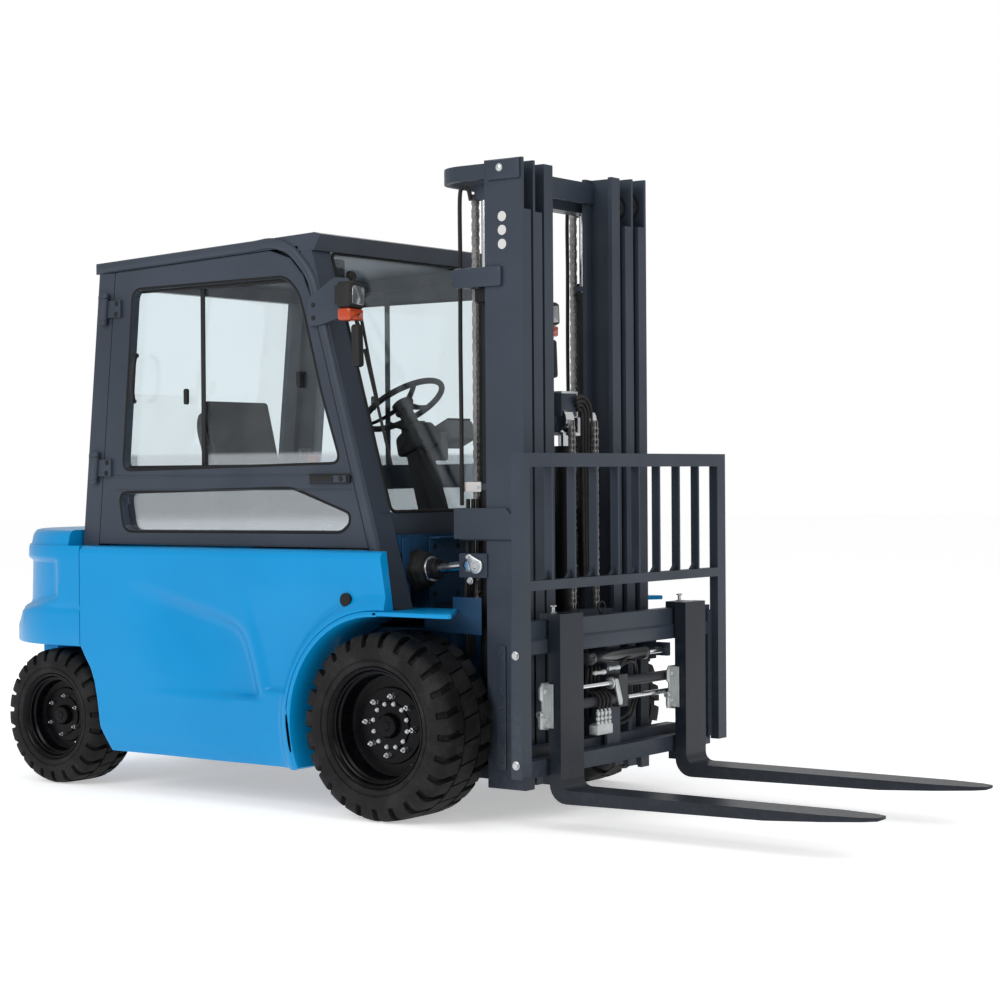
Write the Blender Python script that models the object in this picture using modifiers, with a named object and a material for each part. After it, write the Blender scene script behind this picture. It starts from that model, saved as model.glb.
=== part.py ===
"""Electric counterbalance forklift with a glazed cab and a three-stage mast.

Metres, +Z up, +X towards the fork tips, +Y to the driver's left.
Every length below is measured from the front axle; the whole truck is then
shifted along X by AXLE_X so that its box is centred on the origin.
"""

import math

import bmesh
import bpy
from mathutils import Vector

# ---------------------------------------------------------------- clearances
FIT = 0.0003            # gap between pieces that touch
RUN = 0.0007            # gap of a rod in its gland or a roller in its channel
SEAM = 0.004            # open seam between neighbouring panels
SWING = 0.008           # gap under and around a door

RIGHT, LEFT = -1, 1
SIDES = {"right": RIGHT, "left": LEFT}

# -------------------------------------------------------------------- wheels
FRONT_TYRE_R, FRONT_TYRE_W, FRONT_OUTER_Y = 0.353, 0.300, 0.735
FRONT_RIM_R = 0.212
REAR_TYRE_R, REAR_TYRE_W, REAR_OUTER_Y = 0.285, 0.240, 0.665
REAR_RIM_R = 0.165
WHEELBASE = 1.810
KINGPIN_Y = 0.470
SPINDLE_END_Y = 0.5857
FRONT_DISC_Y, REAR_DISC_Y = 0.617, 0.602   # where each wheel's disc sits

# ---------------------------------------------------------------------- body
BODY_Y = 0.705          # outer face of the side panels
PANEL_T = 0.040
DECK_Z = 1.008
BELLY_Z = 0.168
PANEL_REAR_X = -1.588
ARCH_GAP = 0.059        # between the front tyre and its arch
ARCH_R = FRONT_TYRE_R + ARCH_GAP
FENDER_T = 0.022
FENDER_Y = 0.735
FENDER_TIP_X = 0.360
CW_REAR_X = -2.290
CW_TOP_Z = 1.072
CW_BOTTOM_Z = 0.590
CW_CORNER_R = 0.530
FRAME_HALF = 0.380
BATTERY_LENGTH, BATTERY_WIDTH, BATTERY_HEIGHT = 0.740, 1.200, 0.640

# ----------------------------------------------------------------------- cab
CAB_Y = 0.620
DOOR_T = 0.036
PILLAR_W = 0.110        # front pillar, across the cab
PILLAR_T = 0.056        # front pillar, along the cab
SCREEN_X, SCREEN_Z, SCREEN_LEAN = 0.018, 0.780, -0.289
SCREEN_BOTTOM_Z = 1.150
SCUTTLE_Z = 1.064
REAR_X, REAR_LEAN = -1.652, 0.0985
ROOF_FRONT_X, ROOF_REAR_X = -0.335, -1.562
ROOF_FRONT_Z, ROOF_SLOPE = 2.229, 0.0416
ROOF_T = 0.044
FASCIA_Z, FASCIA_T = 2.160, 0.070
GLASS_T = 0.006
LAMP_REACH = 0.105      # how far the work lamps stand ahead of the front pillars
FLOOR_Z = 0.760
SEAT_REAR_X, SEAT_Z = -1.130, 1.080
WHEEL_X, WHEEL_Z, WHEEL_TILT = -0.430, 1.578, 33
WHEEL_RING_R, WHEEL_TUBE_R, WHEEL_HUB_DEPTH = 0.175, 0.013, 0.030

# ---------------------------------------------------------------------- mast
PIVOT_X, PIVOT_Z, SHOE_Y = 0.240, 0.353, 0.214
PIVOT_R, PIVOT_SEGMENTS = 0.024, 32
MAST_HALF = 0.427
MAST_FRONT_X, MAST_DEPTH = 0.476, 0.172
RAIL_W = 0.058
RAIL_FLANGE, RAIL_WEB = 0.018, 0.014
RAIL_NOTCH = 0.190      # the front flange stops this far below the top of all but the inner stage
STAGE_STEP_Y = 0.083    # each inner rail sits this much further in
STAGE_STEP_X = 0.008    # and is this much shallower at front and back
MAST_TOP, MAST_BOTTOM = 2.463, 0.120
STAGE_TRAVEL = 1.600
FREE_TRAVEL = 0.620
LIFT_X, LIFT_R, LIFT_ROD_R = 0.245, 0.034, 0.022
LIFT_BARREL_TOP = 2.020
CROSSHEAD_Z = 2.330
FREE_X, FREE_TOP = 0.368, 1.400
CHAIN_X, CHAIN_Y = FREE_X + 0.0875, 0.080
CHAIN_TOP, CHAIN_BOTTOM = 1.495, 0.770
TILT_Y, TILT_R, TILT_ROD_R = 0.400, 0.045, 0.020
TILT_INNER_REACH = 0.036  # room from a tilt ram's centre plane in to the lift cylinder
LIFT_Y = TILT_Y - TILT_INNER_REACH - LIFT_R
TILT_PIN_X, TILT_PIN_Z = 0.222, 0.950
TILT_REAR_X, TILT_REAR_Z = -0.480, 0.885
TILT_EYE_W, EAR_T = 0.036, 0.014
PIN_R = 0.018
PIN_PLAY = 0.007        # a ram's pin wanders this far in its ears as the mast tilts

# ------------------------------------------------------------------ carriage
CARRIAGE_BACK_X, CARRIAGE_FRONT_X = 0.500, 0.555
SHIFTER_BACK_X, SHIFTER_FRONT_X = 0.575, 0.625
UPPER_BAR = (0.640, 0.760)
LOWER_BAR = (0.197, 0.258)
SHIFTER_HALF = 0.654
BACKREST_HALF, BACKREST_X, BACKREST_T = 0.717, 0.665, 0.038
BACKREST_TOP, BACKREST_BOTTOM = 1.368, 0.217
BACKREST_BAR_PITCH = 0.146
FORK_Y, FORK_W, FORK_T = 0.434, 0.150, 0.050
FORK_FACE_X, FORK_TIP_X = 0.691, 1.937
FORK_TOP_Z = 0.150
POSITIONER_X, POSITIONER_UPPER_Z, POSITIONER_LOWER_Z = 0.608, 0.497, 0.435
POSITIONER_R, POSITIONER_ROD_R = 0.020, 0.011
SHIFT_X, SHIFT_Z, SHIFT_R = 0.610, 0.600, 0.022

AXLE_X = -(FORK_TIP_X + CW_REAR_X) / 2

PAINT = {
    "blue": ((0.0, 0.27, 0.72, 1), 0.3, 0.0),
    "dark_blue": ((0.01, 0.05, 0.10, 1), 0.5, 0.0),
    "charcoal": ((0.045, 0.053, 0.065, 1), 0.45, 0.0),
    "black": ((0.012, 0.012, 0.014, 1), 0.5, 0.0),
    "tyre": ((0.02, 0.018, 0.017, 1), 0.85, 0.0),
    "glass": ((0.8, 0.86, 0.88, 1), 0.05, 0.0),
    "chrome": ((0.8, 0.8, 0.82, 1), 0.15, 1.0),
    "steel": ((0.10, 0.11, 0.13, 1), 0.4, 0.9),
    "trim": ((0.02, 0.02, 0.022, 1), 0.7, 0.0),
    "lamp": ((0.85, 0.85, 0.85, 1), 0.2, 0.0),
}


# ================================================================ modelling
def clear_scene():
    for obj in list(bpy.data.objects):
        bpy.data.objects.remove(obj, do_unlink=True)


def collection(name):
    made = bpy.data.collections.new(name)
    bpy.context.scene.collection.children.link(made)
    return made


def material(name):
    colour, roughness, metallic = PAINT[name]
    found = bpy.data.materials.get(name)
    if found:
        return found
    made = bpy.data.materials.new(name)
    made.use_nodes = True
    shader = made.node_tree.nodes["Principled BSDF"]
    shader.inputs["Base Color"].default_value = colour
    shader.inputs["Roughness"].default_value = roughness
    shader.inputs["Metallic"].default_value = metallic
    return made


def mesh_object(mesh):
    obj = bpy.data.objects.new("solid", mesh)
    TRUCK.objects.link(obj)
    return obj


def from_bmesh(shape):
    mesh = bpy.data.meshes.new("solid")
    bmesh.ops.recalc_face_normals(shape, faces=shape.faces)
    shape.to_mesh(mesh)
    shape.free()
    return mesh_object(mesh)


def box(x, y, z):
    """A box from three (low, high) pairs."""
    shape = bmesh.new()
    bmesh.ops.create_cube(shape, size=1)
    for vertex in shape.verts:
        for axis, (low, high) in enumerate((x, y, z)):
            vertex.co[axis] = (low + high) / 2 + vertex.co[axis] * (high - low)
    return from_bmesh(shape)


def side_box(side, x, y, z):
    """A box on one side of the truck, its y given from the centre plane outwards."""
    return box(x, sorted((side * y[0], side * y[1])), z)


def rod(start, end, radius, segments=16):
    """A cylinder between two points."""
    start, end = Vector(start), Vector(end)
    shape = bmesh.new()
    bmesh.ops.create_cone(shape, cap_ends=True, segments=segments, radius1=radius,
                          radius2=radius, depth=(end - start).length)
    turn = Vector((0, 0, 1)).rotation_difference(end - start).to_matrix().to_4x4()
    turn.translation = (start + end) / 2
    bmesh.ops.transform(shape, matrix=turn, verts=shape.verts)
    return from_bmesh(shape)


def meshed(obj):
    """The object with its modifiers or curve turned into plain welded faces."""
    graph = bpy.context.evaluated_depsgraph_get()
    mesh = bpy.data.meshes.new_from_object(obj.evaluated_get(graph))
    shape = bmesh.new()
    shape.from_mesh(mesh)
    bmesh.ops.remove_doubles(shape, verts=shape.verts, dist=1e-5)
    bmesh.ops.transform(shape, matrix=obj.matrix_world, verts=shape.verts)
    bpy.data.meshes.remove(mesh)
    bpy.data.objects.remove(obj, do_unlink=True)
    return from_bmesh(shape)


def outline(points, low, high, plane="xz"):
    """A flat outline in the XZ or XY plane, drawn out between two values of the third axis."""
    curve = bpy.data.curves.new("outline", "CURVE")
    curve.dimensions = "2D"
    curve.fill_mode = "BOTH"
    curve.extrude = (high - low) / 2
    spline = curve.splines.new("POLY")
    spline.points.add(len(points) - 1)
    for point, (u, v) in zip(spline.points, points):
        point.co = (u, v, 0, 1)
    spline.use_cyclic_u = True
    obj = mesh_object(curve)
    middle = (low + high) / 2
    if plane == "xz":
        obj.rotation_euler = (math.pi / 2, 0, 0)
        obj.location = (0, middle, 0)
    else:
        obj.location = (0, 0, middle)
    bpy.context.view_layer.update()
    return meshed(obj)


def side_outline(side, points, near, far):
    """An XZ outline on one side of the truck, drawn out between two distances from the centre."""
    low, high = sorted((side * near, side * far))
    return outline(points, low, high)


def turned(profile, centre, steps=28, axis="y"):
    """A ring or disc turned about a line through centre: profile is (radius, place on the axis)."""
    mesh = bpy.data.meshes.new("profile")
    points = [(radius, 0, place) for radius, place in profile]
    count = len(points)
    closed = all(radius > 1e-6 for radius, _ in profile)
    edges = [(i, (i + 1) % count) for i in range(count if closed else count - 1)]
    mesh.from_pydata(points, edges, [])
    obj = mesh_object(mesh)
    screw = obj.modifiers.new("turn", "SCREW")
    screw.steps = screw.render_steps = steps
    screw.use_merge_vertices = True
    screw.merge_threshold = 1e-5
    screw.use_normal_calculate = True
    if axis == "y":
        obj.rotation_euler = (-math.pi / 2, 0, 0)
    obj.location = centre
    bpy.context.view_layer.update()
    return meshed(obj)


def combine(target, others, operation):
    """The target joined with, or cut by, the other solids, which are used up."""
    for other in others:
        step = target.modifiers.new(operation.lower(), "BOOLEAN")
        step.operation = operation
        step.solver = "EXACT"
        step.object = other
    bpy.context.view_layer.update()
    made = meshed(target)
    for other in others:
        bpy.data.objects.remove(other, do_unlink=True)
    return made


def join(target, *others):
    return combine(target, others, "UNION")


def cut(target, *others):
    return combine(target, others, "DIFFERENCE")


def keep_common(target, other):
    return combine(target, [other], "INTERSECT")


def arc(centre, radius, start, end, steps):
    """Points on an arc, angles in degrees from +X towards the outline's second axis."""
    angles = [start + (end - start) * i / steps for i in range(steps + 1)]
    return [(centre[0] + radius * math.cos(math.radians(a)),
             centre[1] + radius * math.sin(math.radians(a))) for a in angles]


def rounded(points, radius, steps=4):
    """The outline with each corner replaced by a short curve of about this radius."""
    made = []
    count = len(points)
    for i, point in enumerate(points):
        here = Vector(point)
        back = Vector(points[i - 1]) - here
        ahead = Vector(points[(i + 1) % count]) - here
        reach = min(radius, back.length * 0.45, ahead.length * 0.45)
        start, end = here + back.normalized() * reach, here + ahead.normalized() * reach
        for k in range(steps + 1):
            t = k / steps
            spot = start * (1 - t) ** 2 + here * (2 * t * (1 - t)) + end * t ** 2
            made.append((spot.x, spot.y))
    return made


# ================================================================= placement
class Pivot:
    """An empty on a joint's axis; the pieces that turn or slide about it hang from it."""

    def __init__(self, name, at=(0, 0, 0), parent=None):
        self.at = Vector(at)
        self.empty = bpy.data.objects.new(name, None)
        TRUCK.objects.link(self.empty)
        if parent:
            self.empty.parent = parent.empty
            self.empty.location = self.at - parent.at
        else:
            self.empty.location = self.at + Vector((AXLE_X, 0, 0))

    def hold(self, obj, name, paint):
        obj.name = name
        obj.data.name = name
        obj.data.materials.clear()
        obj.data.materials.append(material(paint))
        obj.data.shade_smooth()
        obj.data.set_sharp_from_angle(angle=math.radians(30))
        obj.parent = self.empty
        obj.location = -self.at
        return obj


def screen_x(z):
    """The windscreen's plane, leaning back as it rises."""
    return SCREEN_X + SCREEN_LEAN * (z - SCREEN_Z)


def rear_x(z):
    """The rear face of the cab, leaning forward as it rises."""
    return REAR_X + REAR_LEAN * (z - DECK_Z)


def roof_z(x):
    return ROOF_FRONT_Z + ROOF_SLOPE * (x - ROOF_FRONT_X)


# ====================================================================== body
def side_panel(side):
    rear_arch = [(PANEL_REAR_X, CW_BOTTOM_Z), (-1.560, 0.545), (-1.531, 0.505),
                 (-1.508, 0.448), (-1.492, 0.374), (-1.475, 0.252), (-1.436, BELLY_Z)]
    lip_r = ARCH_R + FENDER_T
    bottom_angle = 180 + math.degrees(math.asin((FRONT_TYRE_R - BELLY_Z) / lip_r))
    front_arch = arc((0, FRONT_TYRE_R), lip_r - 0.002, bottom_angle, 96, 16)
    front = [(0.048, FRONT_TYRE_R + ARCH_R + 0.018), (0.017, DECK_Z)]
    skin = rear_arch + front_arch + front + [(PANEL_REAR_X, DECK_Z)]
    panel = side_outline(side, skin, BODY_Y - PANEL_T, BODY_Y)
    top_z = FRONT_TYRE_R + ARCH_R
    outer = arc((0, FRONT_TYRE_R), lip_r, bottom_angle, 90, 18)
    inner = arc((0, FRONT_TYRE_R), ARCH_R, 90, bottom_angle, 18)
    strip = outer + [(FENDER_TIP_X, top_z + FENDER_T), (FENDER_TIP_X, top_z + 0.008)] + inner
    fender = side_outline(side, strip, FRAME_HALF + 0.055, FENDER_Y)
    ledge = side_box(side, (PANEL_REAR_X, -0.110), (0.565, BODY_Y - 0.010), (DECK_Z - 0.036, DECK_Z))
    return join(panel, fender, ledge)


def counterweight():
    """Stacked plan outlines with round rear corners, skinned from the bottom up."""
    levels = [(CW_BOTTOM_Z, CW_REAR_X, BODY_Y), (0.735, CW_REAR_X + 0.015, BODY_Y),
              (0.762, CW_REAR_X + 0.060, BODY_Y), (0.950, CW_REAR_X + 0.066, BODY_Y),
              (1.006, CW_REAR_X + 0.085, BODY_Y - 0.004), (1.055, CW_REAR_X + 0.112, BODY_Y - 0.030),
              (CW_TOP_Z, CW_REAR_X + 0.135, BODY_Y - 0.055)]
    shape = bmesh.new()
    rings = []
    for z, rear, half in levels:
        radius = CW_CORNER_R - (BODY_Y - half)
        front = PANEL_REAR_X - SEAM
        corner = (rear + radius, half - radius)
        half_plan = [(front, half)] + arc(corner, radius, 90, 180, 8)
        plan = half_plan + [(x, -y) for x, y in reversed(half_plan)]
        rings.append([shape.verts.new((x, y, z)) for x, y in plan])
    count = len(rings[0])
    for lower, upper in zip(rings, rings[1:]):
        for i in range(count):
            j = (i + 1) % count
            shape.faces.new((lower[i], lower[j], upper[j], upper[i]))
    shape.faces.new(rings[0])
    shape.faces.new(rings[-1])
    weight = from_bmesh(shape)
    sweep = 0.360
    inset = 0.012
    tail_half = 0.360
    corner = (CW_REAR_X + CW_CORNER_R, BODY_Y - CW_CORNER_R)
    half_plan = arc(corner, CW_CORNER_R - inset, 110, 180, 6)
    plan = half_plan + [(x, -y) for x, y in reversed(half_plan)]
    tail = keep_common(outline(plan, 0.240, CW_BOTTOM_Z + 0.01, "xy"),
                       box((CW_REAR_X, -WHEELBASE - sweep), (-tail_half, tail_half), (0.2, 0.7)))
    trunk = box((-WHEELBASE + 0.07, PANEL_REAR_X - SEAM), (-0.12, 0.12), (0.42, CW_BOTTOM_Z + 0.01))
    shelf = box((rear_x(DECK_Z) - 0.012, PANEL_REAR_X), (-CAB_Y - 0.010, CAB_Y + 0.010), (DECK_Z, CW_TOP_Z + 0.1))
    return join(cut(weight, shelf), tail, trunk)


def chassis_frame():
    pan = box((-1.440, -0.470), (-0.640, 0.640), (BELLY_Z, 0.250))
    nose = box((-0.500, 0.100), (-FRAME_HALF, FRAME_HALF), (0.470, 0.700))
    snout = box((0.080, 0.190), (-0.250, 0.250), (0.470, 0.700))
    web = box((-0.500, -0.460), (-0.640, 0.640), (0.240, 0.700))
    back = box((-1.450, -1.410), (-0.560, 0.560), (0.240, 0.930))
    beam = box((-0.075, -0.045), (-0.505, 0.505), (0.995, SCUTTLE_Z - FIT))
    frame = join(pan, nose, snout, web, back)
    for side in SIDES.values():
        lug = side_box(side, (0.140, PIVOT_X + 0.035), (0.180, SHOE_Y - FIT), (PIVOT_Z - 0.040, 0.480))
        pin = rod((PIVOT_X, side * 0.190, PIVOT_Z), (PIVOT_X, side * (SHOE_Y + 0.028), PIVOT_Z), PIVOT_R,
                  PIVOT_SEGMENTS)
        anchor = side_box(side, (TILT_REAR_X - 0.020, TILT_REAR_X + 0.035), (TILT_Y - 0.050, TILT_Y - 0.026),
                          (0.690, TILT_REAR_Z + 0.030))
        stub = rod((TILT_REAR_X, side * (TILT_Y - 0.040), TILT_REAR_Z),
                   (TILT_REAR_X, side * (TILT_Y + 0.022), TILT_REAR_Z), PIN_R)
        cheek = side_box(side, (-0.075, -0.045), (0.304, 0.324), (0.690, 1.000))
        frame = join(frame, lug, pin, anchor, stub, cheek)
    return join(frame, beam)


def drive_axle():
    rim_back = FRONT_OUTER_Y - FRONT_TYRE_W + 0.02
    tube = rod((0, -rim_back, FRONT_TYRE_R), (0, rim_back, FRONT_TYRE_R), 0.095, 24)
    axle = join(tube, box((-0.10, 0.10), (-0.26, 0.26), (0.25, 0.470 - FIT)))
    for side in SIDES.values():
        drum = rod((0, side * (rim_back - 0.020), FRONT_TYRE_R), (0, side * 0.600, FRONT_TYRE_R), 0.130, 24)
        axle = join(axle, drum)
    return axle


def steer_axle():
    x, z = -WHEELBASE, REAR_TYRE_R
    beam = box((x - 0.034, x + 0.034), (-KINGPIN_Y + 0.040, KINGPIN_Y - 0.040), (z - 0.045, z + 0.045))
    hanger = box((x - 0.060, x + 0.060), (-0.110, 0.110), (z - 0.055, CW_BOTTOM_Z - FIT))
    return join(beam, hanger)


def knuckle(side):
    x, z = -WHEELBASE, REAR_TYRE_R
    barrel = rod((x, side * KINGPIN_Y, z - 0.075), (x, side * KINGPIN_Y, z + 0.075), 0.0395)
    spindle = rod((x, side * KINGPIN_Y, z), (x, side * SPINDLE_END_Y, z), 0.036)
    return join(barrel, spindle)


def wheel(side, centre_x, radius, width, outer_y, rim_r, disc_y):
    """The tyre and its rim, both turned about the axle."""
    inner_y = outer_y - width
    bead, lip = 0.020, 0.012
    flange_r = rim_r + 0.016
    tyre = [(radius, outer_y - 0.035), (radius, inner_y + 0.035), (radius - 0.045, inner_y),
            (rim_r + 0.028, inner_y), (rim_r + FIT, inner_y + bead + FIT),
            (rim_r + FIT, outer_y - bead - FIT), (flange_r + FIT, outer_y - bead - FIT),
            (flange_r + FIT, outer_y - 0.006), (flange_r + 0.012, outer_y), (radius - 0.045, outer_y)]
    rim = [(0, disc_y - 0.016), (rim_r - lip, disc_y - 0.016), (rim_r - lip, inner_y + bead),
           (rim_r, inner_y + bead), (rim_r, outer_y - bead), (flange_r, outer_y - bead + 0.004),
           (flange_r, outer_y - 0.008), (flange_r - 0.006, outer_y - 0.008), (rim_r - lip, outer_y - bead),
           (rim_r - lip, disc_y), (0.060, disc_y), (0.055, disc_y + 0.030), (0.042, disc_y + 0.040),
           (0, disc_y + 0.040)]
    centre = (centre_x, 0, radius)
    made = []
    for profile in (tyre, rim):
        placed = [(r, side * y) for r, y in profile]
        made.append(turned(placed, centre))
    return made


# ======================================================================= cab
def cab_frame():
    frame = None
    inner_rear = 0.062
    for side in SIDES.values():
        foot_z = FRONT_TYRE_R + ARCH_R + FENDER_T + FIT
        top_z = roof_z(ROOF_FRONT_X) - ROOF_T - FIT
        front = [(screen_x(foot_z), foot_z), (screen_x(FASCIA_Z - FIT), FASCIA_Z - FIT),
                 (screen_x(FASCIA_Z - FIT) - PILLAR_T, FASCIA_Z - FIT), (screen_x(foot_z) - PILLAR_T, foot_z)]
        pillar = side_outline(side, front, CAB_Y - PILLAR_W, CAB_Y)
        high = roof_z(ROOF_REAR_X) - ROOF_T - FIT
        post = [(rear_x(DECK_Z), DECK_Z + FIT), (rear_x(DECK_Z) + 0.090, DECK_Z + FIT),
                (rear_x(high) + 0.090, high), (rear_x(high), high)]
        rear = side_outline(side, post, CAB_Y - 0.060, CAB_Y)
        ends = (rear_x(high) + 0.010, screen_x(FASCIA_Z) - FASCIA_T - FIT)
        rail_pts = [(ends[0], roof_z(ends[0]) - ROOF_T - FIT), (ends[0], roof_z(ends[0]) - 0.095),
                    (screen_x(2.120) - 0.020, roof_z(ends[1]) - 0.095), (screen_x(FASCIA_Z) - 0.020, FASCIA_Z - FIT),
                    (ends[1], FASCIA_Z - FIT), (ends[1], roof_z(ends[1]) - ROOF_T - FIT)]
        rail = side_outline(side, rail_pts, CAB_Y - 0.090, CAB_Y - DOOR_T - SWING)
        made = join(pillar, rear, rail)
        frame = made if frame is None else join(frame, made)
    sill = box((rear_x(1.10), rear_x(1.10) + 0.05), (-CAB_Y + 0.03, CAB_Y - 0.03), (DECK_Z + FIT, 1.250))
    z0 = roof_z(ROOF_REAR_X) - 0.100
    header = box((rear_x(z0) + 0.004, rear_x(z0) + 0.050), (-CAB_Y + 0.03, CAB_Y - 0.03),
                 (z0, roof_z(ROOF_REAR_X) - ROOF_T - FIT))
    cowl_x = screen_x(1.10)
    scuttle = box((cowl_x - 0.050, cowl_x - 0.012), (-CAB_Y + 0.05, CAB_Y - 0.05),
                  (SCUTTLE_Z, SCREEN_BOTTOM_Z - FIT))
    return join(frame, sill, header, scuttle)


def cab_roof():
    front_z = ROOF_FRONT_Z
    fascia_x = screen_x(FASCIA_Z)
    brow_x = ROOF_FRONT_X - 0.030
    points = [(ROOF_REAR_X, roof_z(ROOF_REAR_X) - ROOF_T), (ROOF_REAR_X, roof_z(ROOF_REAR_X)),
              (brow_x, roof_z(brow_x)), (ROOF_FRONT_X, front_z - 0.010),
              (fascia_x + 0.012, FASCIA_Z), (fascia_x - FASCIA_T, FASCIA_Z),
              (fascia_x - FASCIA_T, roof_z(fascia_x - FASCIA_T) - ROOF_T)]
    return outline(points, -CAB_Y, CAB_Y)


def windscreen():
    half = CAB_Y - PILLAR_W - FIT
    top = FASCIA_Z - FIT
    low = SCREEN_BOTTOM_Z
    points = [(screen_x(low) - 0.004, low), (screen_x(top) - 0.004, top),
              (screen_x(top) - 0.004 - GLASS_T, top), (screen_x(low) - 0.004 - GLASS_T, low)]
    return outline(points, -half, half)


def rear_window():
    low, top = 1.250 + FIT, roof_z(ROOF_REAR_X) - 0.100 - FIT
    half = CAB_Y - 0.060 - FIT
    inset = 0.018
    points = [(rear_x(low) + inset, low), (rear_x(top) + inset, top),
              (rear_x(top) + inset + GLASS_T, top), (rear_x(low) + inset + GLASS_T, low)]
    return outline(points, -half, half)


def cab_floor():
    half = CAB_Y - PILLAR_W - 0.005
    deck = box((-1.560, -0.620), (-half, half), (DECK_Z - 0.070, DECK_Z - 0.036 - FIT))
    riser = box((-0.640, -0.620), (-half, half), (FLOOR_Z - 0.020, DECK_Z - 0.050))
    tread = box((-0.630, -0.085), (-0.290, 0.290), (FLOOR_Z - 0.020, FLOOR_Z))
    toe = box((-0.110, -0.085), (-0.290, 0.290), (FLOOR_Z - 0.010, SCUTTLE_Z - FIT))
    floor = join(deck, riser, tread, toe)
    legs = box((-0.460, -0.380), (-0.200, 0.200), (0.700 + FIT, FLOOR_Z - 0.010))
    floor = join(floor, legs)
    for side in SIDES.values():
        wall = side_box(side, (-0.630, -0.085), (0.280, 0.300), (FLOOR_Z - 0.020, 0.990))
        cover = side_box(side, (-0.630, -0.085), (0.285, half), (0.975, 0.990))
        front = side_box(side, (-0.110, -0.085), (0.285, half), (0.980, SCUTTLE_Z - FIT))
        floor = join(floor, wall, cover, front)
    return floor


def door_outline():
    """The door seen from the side: front edge along the screen pillar, round upper corner."""
    gap = SWING - 0.004
    bottom = DECK_Z + SWING
    corner = 1.990
    frame_w = 0.090

    def lean_front(z):
        return screen_x(z) - PILLAR_T - gap

    def rear_edge(z):
        return rear_x(z) + frame_w + gap

    def top_z(x):
        return roof_z(x) - ROOF_T - gap

    curve = [(lean_front(corner), corner), (-0.425, 2.066), (-0.491, 2.135), (-0.594, top_z(-0.594))]
    return [(rear_edge(bottom), bottom), (lean_front(bottom), bottom)] + curve + [
        (rear_edge(2.13), top_z(rear_edge(2.13)))]


def door(side):
    panel = side_outline(side, door_outline(), CAB_Y - DOOR_T, CAB_Y)
    upper = [(-1.410, 1.325), (-0.250, 1.345), (-0.343, 1.610), (-0.432, 1.935), (-0.455, 2.000),
             (-0.517, 2.060), (-1.343, 2.055)]
    lower = [(-1.407, 1.074), (-0.245, 1.080), (-0.205, 1.110), (-0.205, 1.145), (-0.490, 1.240), (-1.434, 1.222)]
    through = (CAB_Y - DOOR_T - 0.02, CAB_Y + 0.02)
    window = side_outline(side, rounded(upper, 0.040), *through)
    light = side_outline(side, rounded(lower, 0.035), *through)
    panel = cut(panel, window, light)
    axis = Vector((REAR_LEAN, 0, 1))
    for z in (1.330, 1.985):
        base = Vector((rear_x(z) + 0.060, side * (CAB_Y + 0.016), z))
        barrel = rod(base - axis * 0.045, base + axis * 0.045, 0.0125)
        leaf = side_box(side, (base.x, base.x + 0.085), (CAB_Y + 0.0005, CAB_Y + 0.012), (z - 0.035, z + 0.035))
        foot = side_box(side, (base.x + 0.042, base.x + 0.080), (CAB_Y - 0.004, CAB_Y + 0.006), (z - 0.030, z + 0.030))
        panel = join(panel, foot, barrel, leaf)
    handle = side_box(side, (-0.390, -0.200), (CAB_Y - 0.004, CAB_Y + 0.022), (1.266, 1.292))
    return join(panel, handle)


def door_glass(side):
    """One sheet bonded to the inner face of the door, behind both lights."""
    points = [(-1.440, 1.050), (-0.190, 1.050), (-0.235, 1.180), (-0.410, 1.960), (-0.500, 2.085), (-1.370, 2.080)]
    inner = CAB_Y - DOOR_T - FIT
    return side_outline(side, rounded(points, 0.040), inner - GLASS_T, inner)


# ================================================================== interior
def seat_cushion():
    shape = box((SEAT_REAR_X, -0.640), (-0.245, 0.245), (SEAT_Z, 1.190))
    shape.modifiers.new("edge", "BEVEL").width = 0.030
    return meshed(shape)


def seat_base():
    return box((SEAT_REAR_X + 0.050, -0.700), (-0.200, 0.200), (DECK_Z - 0.036, SEAT_Z - FIT))


def seat_back():
    front = SEAT_REAR_X - FIT
    points = [(front, 1.060), (front, 1.195), (-1.262, 1.650), (-1.372, 1.620), (-1.262, 1.060)]
    return outline(rounded(points, 0.035), -0.235, 0.235)


def steering_column():
    lean = math.radians(WHEEL_TILT)
    normal = Vector((-math.sin(lean), 0, math.cos(lean)))
    centre = Vector((WHEEL_X, 0, WHEEL_Z))
    foot, head = Vector((-0.190, 0, 0.86)), centre - normal * 0.085
    stub = rod(centre - normal * 0.120, centre - normal * (WHEEL_HUB_DEPTH + FIT), 0.026)
    lean = (head - foot).normalized()
    across = Vector((lean.z, 0, -lean.x)) * 0.045
    points = [(foot - across), (foot + across), (head + across * 0.5), (head - across * 0.5)]
    body = outline([(p.x, p.z) for p in points], -0.055, 0.055)
    base = box((-0.250, -0.110 - FIT), (-0.070, 0.070), (FLOOR_Z + FIT, 0.900))
    return join(body, base, stub)


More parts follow.
